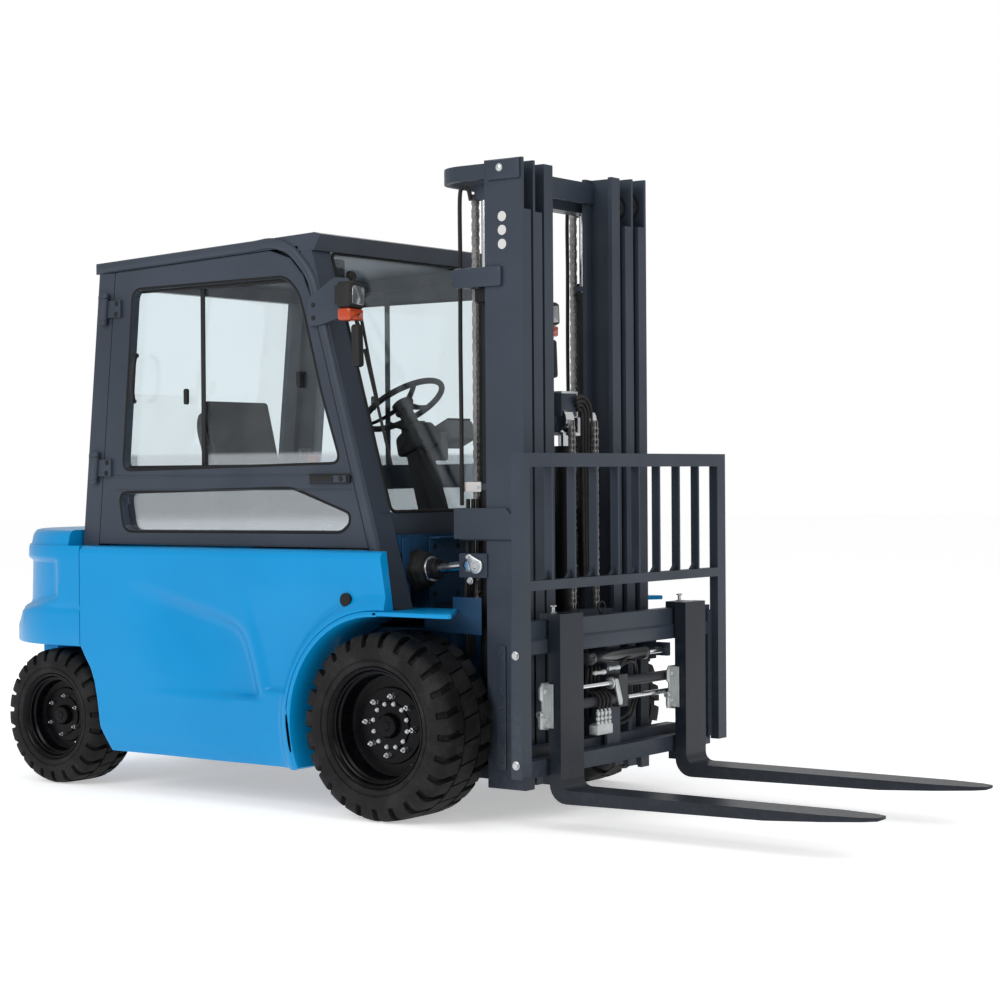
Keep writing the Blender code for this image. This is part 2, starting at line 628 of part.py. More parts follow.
def steering_wheel():
    shape = bmesh.new()
    ring_r, tube_r, around, section = WHEEL_RING_R, WHEEL_TUBE_R, 24, 6
    rings = []
    for i in range(around):
        angle = 2 * math.pi * i / around
        ring = []
        for k in range(section):
            turn = 2 * math.pi * k / section
            radius = ring_r + tube_r * math.cos(turn)
            ring.append(shape.verts.new((radius * math.cos(angle), radius * math.sin(angle),
                                         tube_r * math.sin(turn))))
        rings.append(ring)
    for i in range(around):
        for k in range(section):
            a, b = rings[i], rings[(i + 1) % around]
            shape.faces.new((a[k], b[k], b[(k + 1) % section], a[(k + 1) % section]))
    wheel_ring = from_bmesh(shape)
    hub = rod((0, 0, -WHEEL_HUB_DEPTH), (0, 0, 0.012), 0.035)
    spokes = []
    for angle in (90, 210, 330):
        c, s = math.cos(math.radians(angle)), math.sin(math.radians(angle))
        spokes.append(rod((0, 0, -0.006), (ring_r * c, ring_r * s, 0), 0.009, 8))
    made = join(wheel_ring, hub, *spokes)
    made.rotation_euler = (0, math.radians(-WHEEL_TILT), 0)
    made.location = (WHEEL_X, 0, WHEEL_Z)
    bpy.context.view_layer.update()
    return meshed(made)


def headlamp(side):
    """A work lamp with its indicator, on a curved arm from the front pillar."""
    z = 1.965
    x = screen_x(z) - 0.010
    front = x + LAMP_REACH
    arm = side_box(side, (x - 0.045, front + 0.035), (CAB_Y + FIT, CAB_Y + 0.024), (z - 0.085, z + 0.070))
    shell = side_box(side, (front + 0.020, front + 0.105), (CAB_Y - 0.020, CAB_Y + 0.075), (z - 0.045, z + 0.060))
    signal = side_box(side, (front + 0.030, front + 0.100), (CAB_Y - 0.012, CAB_Y + 0.067), (z - 0.090, z - 0.040))
    gap_cut = side_box(side, (x - 0.2, front + 0.2), (CAB_Y - 0.06, CAB_Y + FIT), (z - 0.2, z + 0.2))
    return cut(join(arm, shell, signal), gap_cut)


# ====================================================================== mast
def rail(side, stage):
    """One C-shaped rail, its web outside; stage 0 is the outer mast, 2 the inner."""
    outer = MAST_HALF - STAGE_STEP_Y * stage
    front = MAST_FRONT_X - STAGE_STEP_X * stage
    back = MAST_FRONT_X - MAST_DEPTH + STAGE_STEP_X * stage
    top = MAST_TOP - 0.004 * stage
    low = MAST_BOTTOM + 0.012 * stage
    body = side_box(side, (back, front), (outer - RAIL_W, outer), (low, top))
    trough = side_box(side, (back + RAIL_FLANGE, front - RAIL_FLANGE), (outer - RAIL_W - 0.01, outer - RAIL_WEB),
                      (low - 0.01, top + 0.01))
    made = cut(body, trough)
    if stage == 2:
        return made
    notch = side_box(side, (front - RAIL_FLANGE - FIT, front + 0.01), (outer - RAIL_W - 0.01, outer - RAIL_WEB),
                     (top - RAIL_NOTCH, top + 0.01))
    return cut(made, notch)


def rollers(side, stage, heights):
    """Rollers carried outside a rail, running in the next rail out."""
    channel_front = MAST_FRONT_X - STAGE_STEP_X * (stage - 1) - RAIL_FLANGE
    channel_back = MAST_FRONT_X - MAST_DEPTH + STAGE_STEP_X * (stage - 1) + RAIL_FLANGE
    radius = (channel_front - channel_back) / 2 - RUN
    x = (channel_front + channel_back) / 2
    inner_face = MAST_HALF - STAGE_STEP_Y * stage - 0.004
    outer_face = MAST_HALF - STAGE_STEP_Y * (stage - 1) - RAIL_WEB - RUN
    return [rod((x, side * inner_face, z), (x, side * outer_face, z), radius, 20) for z in heights]


def outer_mast():
    back = MAST_FRONT_X - MAST_DEPTH
    parts = []
    for side in SIDES.values():
        made = rail(side, 0)
        shoe = side_box(side, (PIVOT_X - 0.042, back - 0.016), (SHOE_Y, SHOE_Y + 0.030), (0.160, PIVOT_Z + 0.042))
        bore = rod((PIVOT_X, side * 0.20, PIVOT_Z), (PIVOT_X, side * (SHOE_Y + 0.05), PIVOT_Z), PIVOT_R + FIT,
                   PIVOT_SEGMENTS)
        shoe = cut(shoe, bore)
        ears = []
        half = TILT_EYE_W / 2 + 0.002
        for near, far in ((TILT_Y - half - EAR_T, TILT_Y - half), (TILT_Y + half, TILT_Y + half + EAR_T)):
            ear = side_box(side, (TILT_PIN_X - 0.042, back + 0.006), (near, far),
                           (TILT_PIN_Z - 0.045, TILT_PIN_Z + 0.045))
            hole = rod((TILT_PIN_X, side * (near - 0.01), TILT_PIN_Z), (TILT_PIN_X, side * (far + 0.01), TILT_PIN_Z),
                       PIN_R + PIN_PLAY)
            ears.append(cut(ear, hole))
        plate = side_outline(side, [(0.160, 1.050), (MAST_FRONT_X - 0.040, 1.050), (MAST_FRONT_X - 0.040, 1.130),
                                    (MAST_FRONT_X - 0.075, 1.166), (0.160, 1.166)],
                             MAST_HALF - 0.004, MAST_HALF + 0.012)
        parts += [made, shoe, *ears, plate]
    tie = box((0.160, 0.176), (-MAST_HALF - 0.006, MAST_HALF + 0.006), (1.050, 1.166))
    foot = box((0.198, back + 0.002), (-MAST_HALF + 0.020, MAST_HALF - 0.020), (0.150, 0.200))
    inner, outer = 0.404, 0.427
    loop_back = 0.040
    plan = [(back + 0.040, outer)] + arc((loop_back + 0.150, outer - 0.150), 0.150, 90, 180, 8)
    plan += [(x, -y) for x, y in reversed(plan)]
    hole = [(back + 0.060, inner)] + arc((loop_back + 0.150, inner - 0.127), 0.127, 90, 180, 8)
    hole += [(x, -y) for x, y in reversed(hole)]
    hoop = cut(outline(plan, 2.395, 2.452, "xy"), outline(hole, 2.38, 2.47, "xy"))
    return join(parts[0], *parts[1:], tie, foot, hoop)


def lift_barrel(side):
    low, top = 0.200 + FIT, LIFT_BARREL_TOP
    bore_r = LIFT_ROD_R + RUN
    profile = [(1e-7, low), (LIFT_R, low), (LIFT_R, top), (bore_r, top), (bore_r, low + 0.060),
               (1e-7, low + 0.060)]
    tube = turned(list(reversed(profile)), (LIFT_X, side * LIFT_Y, 0), 24, "z")
    back = MAST_FRONT_X - MAST_DEPTH
    collar = side_box(side, (LIFT_X, back - FIT), (LIFT_Y - 0.030, LIFT_Y + 0.080), (top - 0.080, top - 0.030))
    hole = rod((LIFT_X, side * LIFT_Y, top - 0.2), (LIFT_X, side * LIFT_Y, top + 0.2), bore_r + 0.004)
    return join(tube, cut(collar, hole))


def lift_rod(side):
    return rod((LIFT_X, side * LIFT_Y, 0.340), (LIFT_X, side * LIFT_Y, CROSSHEAD_Z - FIT), LIFT_ROD_R)


def middle_mast():
    parts = []
    outer = MAST_HALF - STAGE_STEP_Y
    back = MAST_FRONT_X - MAST_DEPTH + STAGE_STEP_X
    for side in SIDES.values():
        parts += [rail(side, 1), *rollers(side, 1, (0.215, 0.480))]
        parts.append(side_box(side, (LIFT_X + 0.020, back + 0.008), (outer - 0.050, outer - 0.006),
                              (CROSSHEAD_Z, CROSSHEAD_Z + 0.056)))
    bar = box((LIFT_X - 0.034, LIFT_X + 0.040), (-LIFT_Y - 0.034, LIFT_Y + 0.034), (CROSSHEAD_Z, CROSSHEAD_Z + 0.056))
    low = box((back - 0.017, back + 0.002), (-outer + 0.008, outer - 0.008), (0.230, 0.330))
    return join(parts[0], *parts[1:], bar, low)


def inner_mast():
    parts = []
    outer = MAST_HALF - 2 * STAGE_STEP_Y
    back = MAST_FRONT_X - MAST_DEPTH + 2 * STAGE_STEP_X
    for side in SIDES.values():
        parts += [rail(side, 2), *rollers(side, 2, (0.215, 0.480))]
    top = box((back, back + 0.030), (-outer + 0.008, outer - 0.008), (2.360, 2.440))
    low = box((back + 0.002, back + 0.075), (-outer + 0.008, outer - 0.008), (0.150, 0.200))
    return join(parts[0], *parts[1:], top, low)


def free_lift_barrel():
    low = 0.200 + FIT
    bore_r = 0.025 + RUN
    profile = [(1e-7, low), (0.040, low), (0.040, FREE_TOP), (bore_r, FREE_TOP), (bore_r, low + 0.080),
               (1e-7, low + 0.080)]
    return turned(list(reversed(profile)), (FREE_X, 0, 0), 24, "z")


def free_lift_head():
    ram = rod((FREE_X, 0, 0.60), (FREE_X, 0, 1.470), 0.025)
    yoke = box((FREE_X - 0.030, FREE_X + 0.034), (-0.060, 0.060), (1.440, 1.510))
    sheaves = []
    for side in SIDES.values():
        sheaves.append(rod((FREE_X + 0.030, side * 0.050, 1.500), (FREE_X + 0.030, side * 0.105, 1.500), 0.050, 20))
    return join(ram, yoke, *sheaves)


def carriage_chain(side):
    return side_box(side, (CHAIN_X - 0.007, CHAIN_X + 0.007), (CHAIN_Y - 0.014, CHAIN_Y + 0.014),
                    (CHAIN_BOTTOM + FIT, CHAIN_TOP))


# ================================================================== carriage
def carriage():
    parts = []
    inner = MAST_HALF - 2 * STAGE_STEP_Y - RAIL_W - 0.008
    for side in SIDES.values():
        cheek = side_box(side, (0.372, CARRIAGE_FRONT_X - 0.010), (inner - 0.026, inner), (0.225, 0.750))
        parts.append(cheek)
        for z in (0.300, 0.670):
            parts += rollers_for_carriage(side, z, inner)
    upper = box((CARRIAGE_BACK_X, CARRIAGE_FRONT_X), (-0.520, 0.520), (0.650, 0.750))
    lower = box((CARRIAGE_BACK_X, CARRIAGE_FRONT_X), (-0.520, 0.520), (0.205, 0.290))
    shelf = box((CHAIN_X - 0.020, CARRIAGE_BACK_X + 0.010), (-0.120, 0.120), (0.730, CHAIN_BOTTOM))
    neck = box((CHAIN_X - 0.020, CARRIAGE_BACK_X + 0.010), (-inner + 0.010, inner - 0.010), (0.700, 0.740))
    lug = box((CARRIAGE_FRONT_X - 0.004, SHIFT_X + 0.016), (0.330, 0.350), (SHIFT_Z - 0.026, SHIFT_Z + 0.026))
    post = box((CARRIAGE_BACK_X, CARRIAGE_FRONT_X), (0.320, 0.360), (0.560, 0.660))
    return join(parts[0], *parts[1:], upper, lower, shelf, neck, lug, post)


def rollers_for_carriage(side, z, inner):
    front = MAST_FRONT_X - STAGE_STEP_X * 2 - RAIL_FLANGE
    back = MAST_FRONT_X - MAST_DEPTH + STAGE_STEP_X * 2 + RAIL_FLANGE
    radius = (front - back) / 2 - RUN
    outer_face = MAST_HALF - STAGE_STEP_Y * 2 - RAIL_WEB - RUN
    x = (front + back) / 2
    return [rod((x, side * (inner - 0.004), z), (x, side * outer_face, z), radius)]


def side_shifter():
    bars = []
    for low, high in (UPPER_BAR, LOWER_BAR):
        bars.append(box((SHIFTER_BACK_X, SHIFTER_FRONT_X), (-SHIFTER_HALF, SHIFTER_HALF), (low, high)))
    for side in SIDES.values():
        bars.append(side_box(side, (SHIFTER_BACK_X, SHIFTER_FRONT_X + 0.010), (0.625, SHIFTER_HALF), (0.230, 0.740)))
        for z in (0.700, 0.245):
            bars.append(side_box(side, (CARRIAGE_FRONT_X + FIT, SHIFTER_BACK_X + 0.004), (0.200, 0.300),
                                 (z - 0.010, z + 0.010)))
    spine = box((SHIFTER_BACK_X, SHIFTER_BACK_X + 0.012), (-0.045, 0.045), (0.250, 0.650))
    return join(bars[0], *bars[1:], spine)


def load_backrest():
    back = BACKREST_X - BACKREST_T
    top = box((back, BACKREST_X), (-BACKREST_HALF, BACKREST_HALF), (BACKREST_TOP - 0.050, BACKREST_TOP))
    cross = box((back, BACKREST_X), (-BACKREST_HALF + 0.01, BACKREST_HALF - 0.01), (0.875, 0.910))
    parts = [cross]
    for side in SIDES.values():
        parts.append(side_box(side, (back, BACKREST_X), (SHIFTER_HALF + FIT, BACKREST_HALF),
                              (BACKREST_BOTTOM, BACKREST_TOP - 0.01)))
    for i in range(8):
        y = (i - 3.5) * BACKREST_BAR_PITCH
        parts.append(box((back + 0.002, BACKREST_X - 0.002), (y - 0.005, y + 0.005), (0.900, BACKREST_TOP - 0.040)))
    return join(top, *parts)


def fork(side):
    """Shank and blade in one bent bar, the blade tapering to a thin round tip."""
    back = FORK_FACE_X - FORK_T
    heel = FORK_TOP_Z - FORK_T
    shank_top = UPPER_BAR[1] + 0.025
    bend_in = [(x, z) for x, z in arc((FORK_FACE_X + 0.035, FORK_TOP_Z + 0.035), 0.035, 180, 270, 5)]
    bend_out = [(x, z) for x, z in arc((back + 0.070, heel + 0.070), 0.070, 270, 180, 6)]
    side_view = [(back, shank_top), (FORK_FACE_X, shank_top)] + bend_in + [
        (FORK_TIP_X - 0.010, FORK_TOP_Z), (FORK_TIP_X, FORK_TOP_Z - 0.006), (FORK_TIP_X - 0.012, FORK_TOP_Z - 0.012),
        (1.520, heel + 0.012)] + bend_out
    blade = side_outline(side, side_view, FORK_Y - FORK_W / 2, FORK_Y + FORK_W / 2)
    w = FORK_W / 2
    plan = [(0.5, -w), (1.740, -w), (1.880, -w * 0.72), (1.926, -w * 0.42), (FORK_TIP_X, 0), (1.926, w * 0.42),
            (1.880, w * 0.72), (1.740, w), (0.5, w)]
    mask = outline([(x, y + side * FORK_Y) for x, y in plan], 0.0, 1.0, "xy")
    blade = keep_common(blade, mask)
    hook = side_box(side, (SHIFTER_BACK_X + 0.012, back + 0.004), (FORK_Y - 0.055, FORK_Y + 0.055),
                    (UPPER_BAR[1] + RUN, shank_top))
    claw = side_box(side, (SHIFTER_BACK_X + 0.022, back + 0.004), (FORK_Y - 0.055, FORK_Y + 0.055),
                    (LOWER_BAR[0] - 0.034, LOWER_BAR[0] - RUN))
    return join(blade, hook, claw)


def positioner_cylinders():
    """Two barrels held side by side in a clamp, each open towards the fork that its rod moves."""
    clamp = box((POSITIONER_X - 0.0205, POSITIONER_X + 0.024), (-0.030, 0.030),
                (POSITIONER_LOWER_Z - 0.030, POSITIONER_UPPER_Z + 0.030))
    upper = rod((POSITIONER_X, -0.045, POSITIONER_UPPER_Z), (POSITIONER_X, 0.470, POSITIONER_UPPER_Z), POSITIONER_R)
    lower = rod((POSITIONER_X, 0.045, POSITIONER_LOWER_Z), (POSITIONER_X, -0.470, POSITIONER_LOWER_Z), POSITIONER_R)
    body = join(clamp, upper, lower)
    bore_r = POSITIONER_ROD_R + RUN
    bores = [rod((POSITIONER_X, -0.06, POSITIONER_UPPER_Z), (POSITIONER_X, 0.455, POSITIONER_UPPER_Z), bore_r),
             rod((POSITIONER_X, 0.06, POSITIONER_LOWER_Z), (POSITIONER_X, -0.455, POSITIONER_LOWER_Z), bore_r)]
    return cut(body, *bores)


def positioner_rod(side):
    """The rod from the far barrel to the clamp plate behind its fork."""
    z = POSITIONER_UPPER_Z if side == RIGHT else POSITIONER_LOWER_Z
    stem = rod((POSITIONER_X, side * (FORK_Y + 0.010), z), (POSITIONER_X, -side * 0.060, z), POSITIONER_ROD_R)
    lift = 0.006 if side == RIGHT else -0.006
    plate = side_box(side, (POSITIONER_X - 0.016, FORK_FACE_X - FORK_T - FIT), (FORK_Y - 0.020, FORK_Y + 0.020),
                     (z - 0.020 + lift, z + 0.020 + lift))
    return join(stem, plate)


def side_shift_cylinder():
    body = rod((SHIFT_X, -0.210, SHIFT_Z), (SHIFT_X, 0.190, SHIFT_Z), SHIFT_R)
    foot = box((SHIFTER_BACK_X + 0.012 + FIT, SHIFT_X), (-0.040, 0.040), (SHIFT_Z - 0.024, SHIFT_Z + 0.024))
    bore = rod((SHIFT_X, -0.150, SHIFT_Z), (SHIFT_X, 0.250, SHIFT_Z), 0.012 + RUN)
    return cut(join(body, foot), bore)


def side_shift_rod():
    return rod((SHIFT_X, -0.020, SHIFT_Z), (SHIFT_X, 0.330 - FIT, SHIFT_Z), 0.012)


# ============================================================ tilt cylinders
def tilt_line():
    rear = Vector((TILT_REAR_X, 0, TILT_REAR_Z))
    front = Vector((TILT_PIN_X, 0, TILT_PIN_Z))
    return rear, front, (front - rear).normalized()


def tilt_barrel(side):
    rear, front, along = tilt_line()
    out = Vector((0, side * TILT_Y, 0))
    start, end = rear + along * 0.040, rear + along * 0.505
    body = rod(start + out, end + out, TILT_R)
    eye = rod(rear + out - Vector((0, TILT_EYE_W / 2, 0)), rear + out + Vector((0, TILT_EYE_W / 2, 0)), 0.034)
    neck = rod(rear + out, start + out + along * 0.02, 0.017, 12)
    hole = rod(rear + out - Vector((0, 0.03, 0)), rear + out + Vector((0, 0.03, 0)), PIN_R + FIT)
    bore = rod(start + along * 0.060 + out, end + along * 0.050 + out, TILT_ROD_R + RUN)
    return cut(join(body, eye, neck), hole, bore)


def tilt_rod(side):
    rear, front, along = tilt_line()
    out = Vector((0, side * TILT_Y, 0))
    stem = rod(rear + along * 0.330 + out, front - along * 0.026 + out, TILT_ROD_R)
    half = Vector((0, TILT_EYE_W / 2, 0))
    eye = rod(front + out - half, front + out + half, 0.032)
    reach = Vector((0, TILT_EYE_W / 2 + 0.002 + EAR_T, 0))
    pin = rod(front + out - reach, front + out + reach, PIN_R)
    return join(stem, eye, pin)


# ================================================================== assembly
def build_body(truck):
    truck.hold(chassis_frame(), "chassis_frame", "dark_blue")
    truck.hold(counterweight(), "counterweight", "blue")
    truck.hold(drive_axle(), "drive_axle", "black")
    truck.hold(steer_axle(), "steer_axle", "black")
    rear = -1.400
    truck.hold(box((rear, rear + BATTERY_LENGTH), (-BATTERY_WIDTH / 2, BATTERY_WIDTH / 2),
                   (0.250 + FIT, 0.250 + FIT + BATTERY_HEIGHT)), "battery_pack", "black")
    for name, side in SIDES.items():
        truck.hold(side_panel(side), name + "_side_panel", "blue")


def build_wheels(truck):
    for name, side in SIDES.items():
        hub = Pivot(name + "_front_hub", (0, side * 0.585, FRONT_TYRE_R), truck)
        tyre, rim = wheel(side, 0, FRONT_TYRE_R, FRONT_TYRE_W, FRONT_OUTER_Y, FRONT_RIM_R, FRONT_DISC_Y)
        hub.hold(tyre, name + "_front_tyre", "tyre")
        hub.hold(rim, name + "_front_rim", "black")
        king = Pivot(name + "_kingpin", (-WHEELBASE, side * KINGPIN_Y, REAR_TYRE_R), truck)
        king.hold(knuckle(side), name + "_knuckle", "black")
        hub = Pivot(name + "_rear_hub", (-WHEELBASE, side * 0.545, REAR_TYRE_R), king)
        tyre, rim = wheel(side, -WHEELBASE, REAR_TYRE_R, REAR_TYRE_W, REAR_OUTER_Y, REAR_RIM_R, REAR_DISC_Y)
        hub.hold(tyre, name + "_rear_tyre", "tyre")
        hub.hold(rim, name + "_rear_rim", "black")


def build_cab(truck):
    truck.hold(cab_frame(), "cab_frame", "charcoal")
    truck.hold(cab_roof(), "cab_roof", "charcoal")
    truck.hold(cab_floor(), "cab_floor", "dark_blue")
    truck.hold(windscreen(), "windscreen", "glass")
    truck.hold(rear_window(), "rear_window", "glass")
    truck.hold(seat_base(), "seat_base", "trim")
    truck.hold(seat_cushion(), "seat_cushion", "trim")
    truck.hold(seat_back(), "seat_back", "trim")
    truck.hold(steering_column(), "steering_column", "trim")
    truck.hold(steering_wheel(), "steering_wheel", "trim")
    for name, side in SIDES.items():
        truck.hold(headlamp(side), name + "_headlamp", "lamp")
        hinge = Pivot(name + "_door_hinge", (rear_x(1.330) + 0.060, side * (CAB_Y + 0.016), 1.330), truck)
        hinge.hold(door(side), name + "_door", "charcoal")
        hinge.hold(door_glass(side), name + "_door_glass", "glass")


def build_mast(truck):
    tilt = Pivot("mast_tilt", (PIVOT_X, 0, PIVOT_Z), truck)
    tilt.hold(outer_mast(), "outer_mast", "charcoal")
    middle = Pivot("middle_stage", (MAST_FRONT_X, 0, MAST_BOTTOM), tilt)
    middle.hold(middle_mast(), "middle_mast", "charcoal")
    inner = Pivot("inner_stage", (MAST_FRONT_X, 0, MAST_BOTTOM), middle)
    inner.hold(inner_mast(), "inner_mast", "charcoal")
    inner.hold(free_lift_barrel(), "free_lift_cylinder", "black")
    head = Pivot("free_lift_stage", (FREE_X, 0, FREE_TOP), inner)
    head.hold(free_lift_head(), "free_lift_head", "chrome")
    for name, side in SIDES.items():
        tilt.hold(lift_barrel(side), name + "_lift_cylinder", "black")
        middle.hold(lift_rod(side), name + "_lift_rod", "chrome")
        head.hold(carriage_chain(side), name + "_carriage_chain", "steel")
        anchor = Pivot(name + "_tilt_anchor", (TILT_REAR_X, side * TILT_Y, TILT_REAR_Z), truck)
        anchor.hold(tilt_barrel(side), name + "_tilt_cylinder", "black")
        sliding = Pivot(name + "_tilt_ram", (TILT_PIN_X, side * TILT_Y, TILT_PIN_Z), anchor)
        sliding.hold(tilt_rod(side), name + "_tilt_rod", "chrome")
    return inner


def build_carriage(inner):
    lift = Pivot("carriage_stage", (CARRIAGE_BACK_X, 0, UPPER_BAR[0]), inner)
    lift.hold(carriage(), "carriage", "black")
    lift.hold(side_shift_rod(), "side_shift_rod", "chrome")
    shift = Pivot("side_shift", (SHIFTER_BACK_X, 0, UPPER_BAR[0]), lift)
    shift.hold(side_shifter(), "side_shifter", "black")
    shift.hold(side_shift_cylinder(), "side_shift_cylinder", "black")
    shift.hold(load_backrest(), "load_backrest", "charcoal")
    shift.hold(positioner_cylinders(), "positioner_cylinders", "black")
    for name, side in SIDES.items():
        slide = Pivot(name + "_fork_slide", (SHIFTER_FRONT_X, side * FORK_Y, UPPER_BAR[1]), shift)
        slide.hold(fork(side), name + "_fork", "steel")
        slide.hold(positioner_rod(side), name + "_positioner_rod", "chrome")


clear_scene()
TRUCK = collection("forklift")
truck_root = Pivot("front_axle")
build_body(truck_root)
build_wheels(truck_root)
build_cab(truck_root)
build_carriage(build_mast(truck_root))
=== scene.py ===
"""Electric counterbalance forklift: finishes and fitted detail on its fixed frame.

Metres, +Z up, +X towards the fork tips, +Y to the driver's left. The lengths of
every class are measured from the front axle, and the workshop shifts a finished
surface along X to the place of that axle in the frame.
"""

from __future__ import annotations

import logging
import math
from collections.abc import Iterable, Sequence
from dataclasses import dataclass, field
from enum import Enum

import bmesh
import bpy
import numpy as np
from mathutils import Matrix, Vector


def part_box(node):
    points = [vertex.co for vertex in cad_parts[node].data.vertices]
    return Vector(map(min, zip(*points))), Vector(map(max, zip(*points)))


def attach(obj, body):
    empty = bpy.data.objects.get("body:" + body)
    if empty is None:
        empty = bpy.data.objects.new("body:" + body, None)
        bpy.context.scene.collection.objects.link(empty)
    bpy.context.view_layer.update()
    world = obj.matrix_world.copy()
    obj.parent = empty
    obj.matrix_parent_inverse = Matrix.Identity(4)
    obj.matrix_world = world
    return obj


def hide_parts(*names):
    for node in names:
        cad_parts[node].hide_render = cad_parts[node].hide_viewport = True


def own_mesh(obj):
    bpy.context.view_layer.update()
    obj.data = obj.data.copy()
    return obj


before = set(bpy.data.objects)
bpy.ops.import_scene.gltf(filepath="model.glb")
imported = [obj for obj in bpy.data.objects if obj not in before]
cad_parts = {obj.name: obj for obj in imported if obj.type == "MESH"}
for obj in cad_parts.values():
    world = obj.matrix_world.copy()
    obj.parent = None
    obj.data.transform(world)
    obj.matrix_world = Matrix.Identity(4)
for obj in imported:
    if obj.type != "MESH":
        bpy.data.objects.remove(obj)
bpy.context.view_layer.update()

logging.basicConfig(level=logging.INFO, format="%(message)s")
LOG = logging.getLogger("forklift")

Array = np.ndarray
Points2 = Sequence[tuple[float, float]]
TAU = 2.0 * math.pi
SIDES: dict[str, int] = {"right": -1, "left": 1}
OUTWARD = (0.0, -1.0, 0.0)


# ------ surfaces
@dataclass
class Surface:
    """A closed surface: its points, one row each, and its faces as rows of point numbers."""

    points: Array
    faces: list[list[int]]

    def __add__(self, other: Surface) -> Surface:
        """Both surfaces as one."""
        offset = len(self.points)
        shifted = [[index + offset for index in face] for face in other.faces]
        return Surface(np.vstack([self.points, other.points]), self.faces + shifted)

    def moved(self, x: float = 0.0, y: float = 0.0, z: float = 0.0) -> Surface:
        """The surface carried along by (x, y, z)."""
        return Surface(self.points + np.array([x, y, z]), self.faces)

    def sided(self, side: int) -> Surface:
        """The surface itself for side -1, and its mirror image in the centre plane for side +1."""
        if side < 0:
            return self
        return Surface(self.points * np.array([1.0, -1.0, 1.0]), [face[::-1] for face in self.faces])

    def turned(self, angle: float, axis: str, about: Sequence[float] = (0.0, 0.0, 0.0)) -> Surface:
        """The surface turned by angle degrees about a line through a point, along X, Y or Z."""
        turn = np.array(Matrix.Rotation(math.radians(angle), 3, axis))
        centre = np.array(about)
        return Surface((self.points - centre) @ turn.T + centre, self.faces)


def gather(surfaces: Iterable[Surface]) -> Surface:
    """Every surface of the list as one.

    Args:
        surfaces: at least one surface.

    Returns:
        One surface that holds all the points and faces.
    """
    parts = list(surfaces)
    offsets = np.cumsum([0] + [len(part.points) for part in parts[:-1]])
    faces = [[index + int(offset) for index in face] for part, offset in zip(parts, offsets) for face in part.faces]
    return Surface(np.vstack([part.points for part in parts]), faces)


def grid(points: Array, loop_rows: bool = False, loop_columns: bool = True, capped: bool = True) -> Surface:
    """Skins a rows by columns grid of points with four-sided faces.

    Face (i, j) joins point (i, j) to its neighbours in the next column and the next row.

    Args:
        points: array of shape (rows, columns, 3).
        loop_rows: the last row joins the first.
        loop_columns: the last column joins the first.
        capped: the first and the last row are each closed by one face.

    Returns:
        The surface.
    """
    rows, columns = points.shape[:2]
    index = np.arange(rows * columns).reshape(rows, columns)
    if loop_rows:
        index = np.vstack([index, index[:1]])
    if loop_columns:
        index = np.hstack([index, index[:, :1]])
    quads = np.stack([index[:-1, :-1], index[:-1, 1:], index[1:, 1:], index[1:, :-1]], axis=-1)
    faces = quads.reshape(-1, 4).tolist()
    if capped and loop_columns and not loop_rows:
        faces += [index[0, :-1][::-1].tolist(), index[-1, :-1].tolist()]
    return Surface(points.reshape(-1, 3).astype(float), faces)


def smooth_path(knots: Sequence[Sequence[float]], steps: int = 8) -> Array:
    """A path through every knot, as a Catmull-Rom curve.

    Between knots 1 and 2 the place is half of (2 p1 + (p2 - p0) t + (2 p0 - 5 p1 + 4 p2 - p3) t squared
    + (3 p1 - p0 - 3 p2 + p3) t cubed).

    Args:
        knots: the points that the path passes.
        steps: the number of stretches between two knots.

    Returns:
        The path's points, one row each.
    """
    knot = np.asarray(knots, float)
    padded = np.vstack([2 * knot[0] - knot[1], knot, 2 * knot[-1] - knot[-2]])
    p0, p1, p2, p3 = (padded[i : len(padded) - 3 + i, None, :] for i in range(4))
    t = np.linspace(0, 1, steps, endpoint=False)[None, :, None]
    second, third = 2 * p0 - 5 * p1 + 4 * p2 - p3, 3 * p1 - p0 - 3 * p2 + p3
    curve = 0.5 * (2 * p1 + (p2 - p0) * t + second * t**2 + third * t**3)
    return np.vstack([curve.reshape(-1, 3), knot[-1:]])


def sweep(path: Array, profile: Array, up: Sequence[float] = (0.0, 0.0, 1.0), closed: bool = False) -> Surface:
    """Carries a profile along a path.

    Row i is the path's point i, plus profile u times the side direction, plus profile v times the
    upward direction. The side direction is the tangent crossed with up, and the upward one is the
    side direction crossed with the tangent.

    Args:
        path: (n, 3) points.
        profile: (m, 2) points, or (n, m, 2) for one that changes along the path.
        up: a direction that no stretch of the path runs along.
        closed: the path's end joins its start.

    Returns:
        The swept surface.
    """
    if closed:
        tangent = np.roll(path, -1, 0) - np.roll(path, 1, 0)
    else:
        tangent = np.gradient(path, axis=0)
    tangent /= np.linalg.norm(tangent, axis=1, keepdims=True)
    across = np.cross(tangent, np.asarray(up, float))
    across /= np.linalg.norm(across, axis=1, keepdims=True)
    upward = np.cross(across, tangent)
    shape = np.broadcast_to(profile, (len(path), *profile.shape[-2:]))
    points = path[:, None, :] + shape[..., :1] * across[:, None, :] + shape[..., 1:] * upward[:, None, :]
    return grid(points, loop_rows=closed)


def circle(count: int, wide: float = 1.0, high: float | None = None) -> Array:
    """Points round a circle of one radius, or round an oval of two."""
    angle = np.linspace(0, TAU, count, endpoint=False)
    return np.stack([wide * np.cos(angle), (wide if high is None else high) * np.sin(angle)], axis=-1)


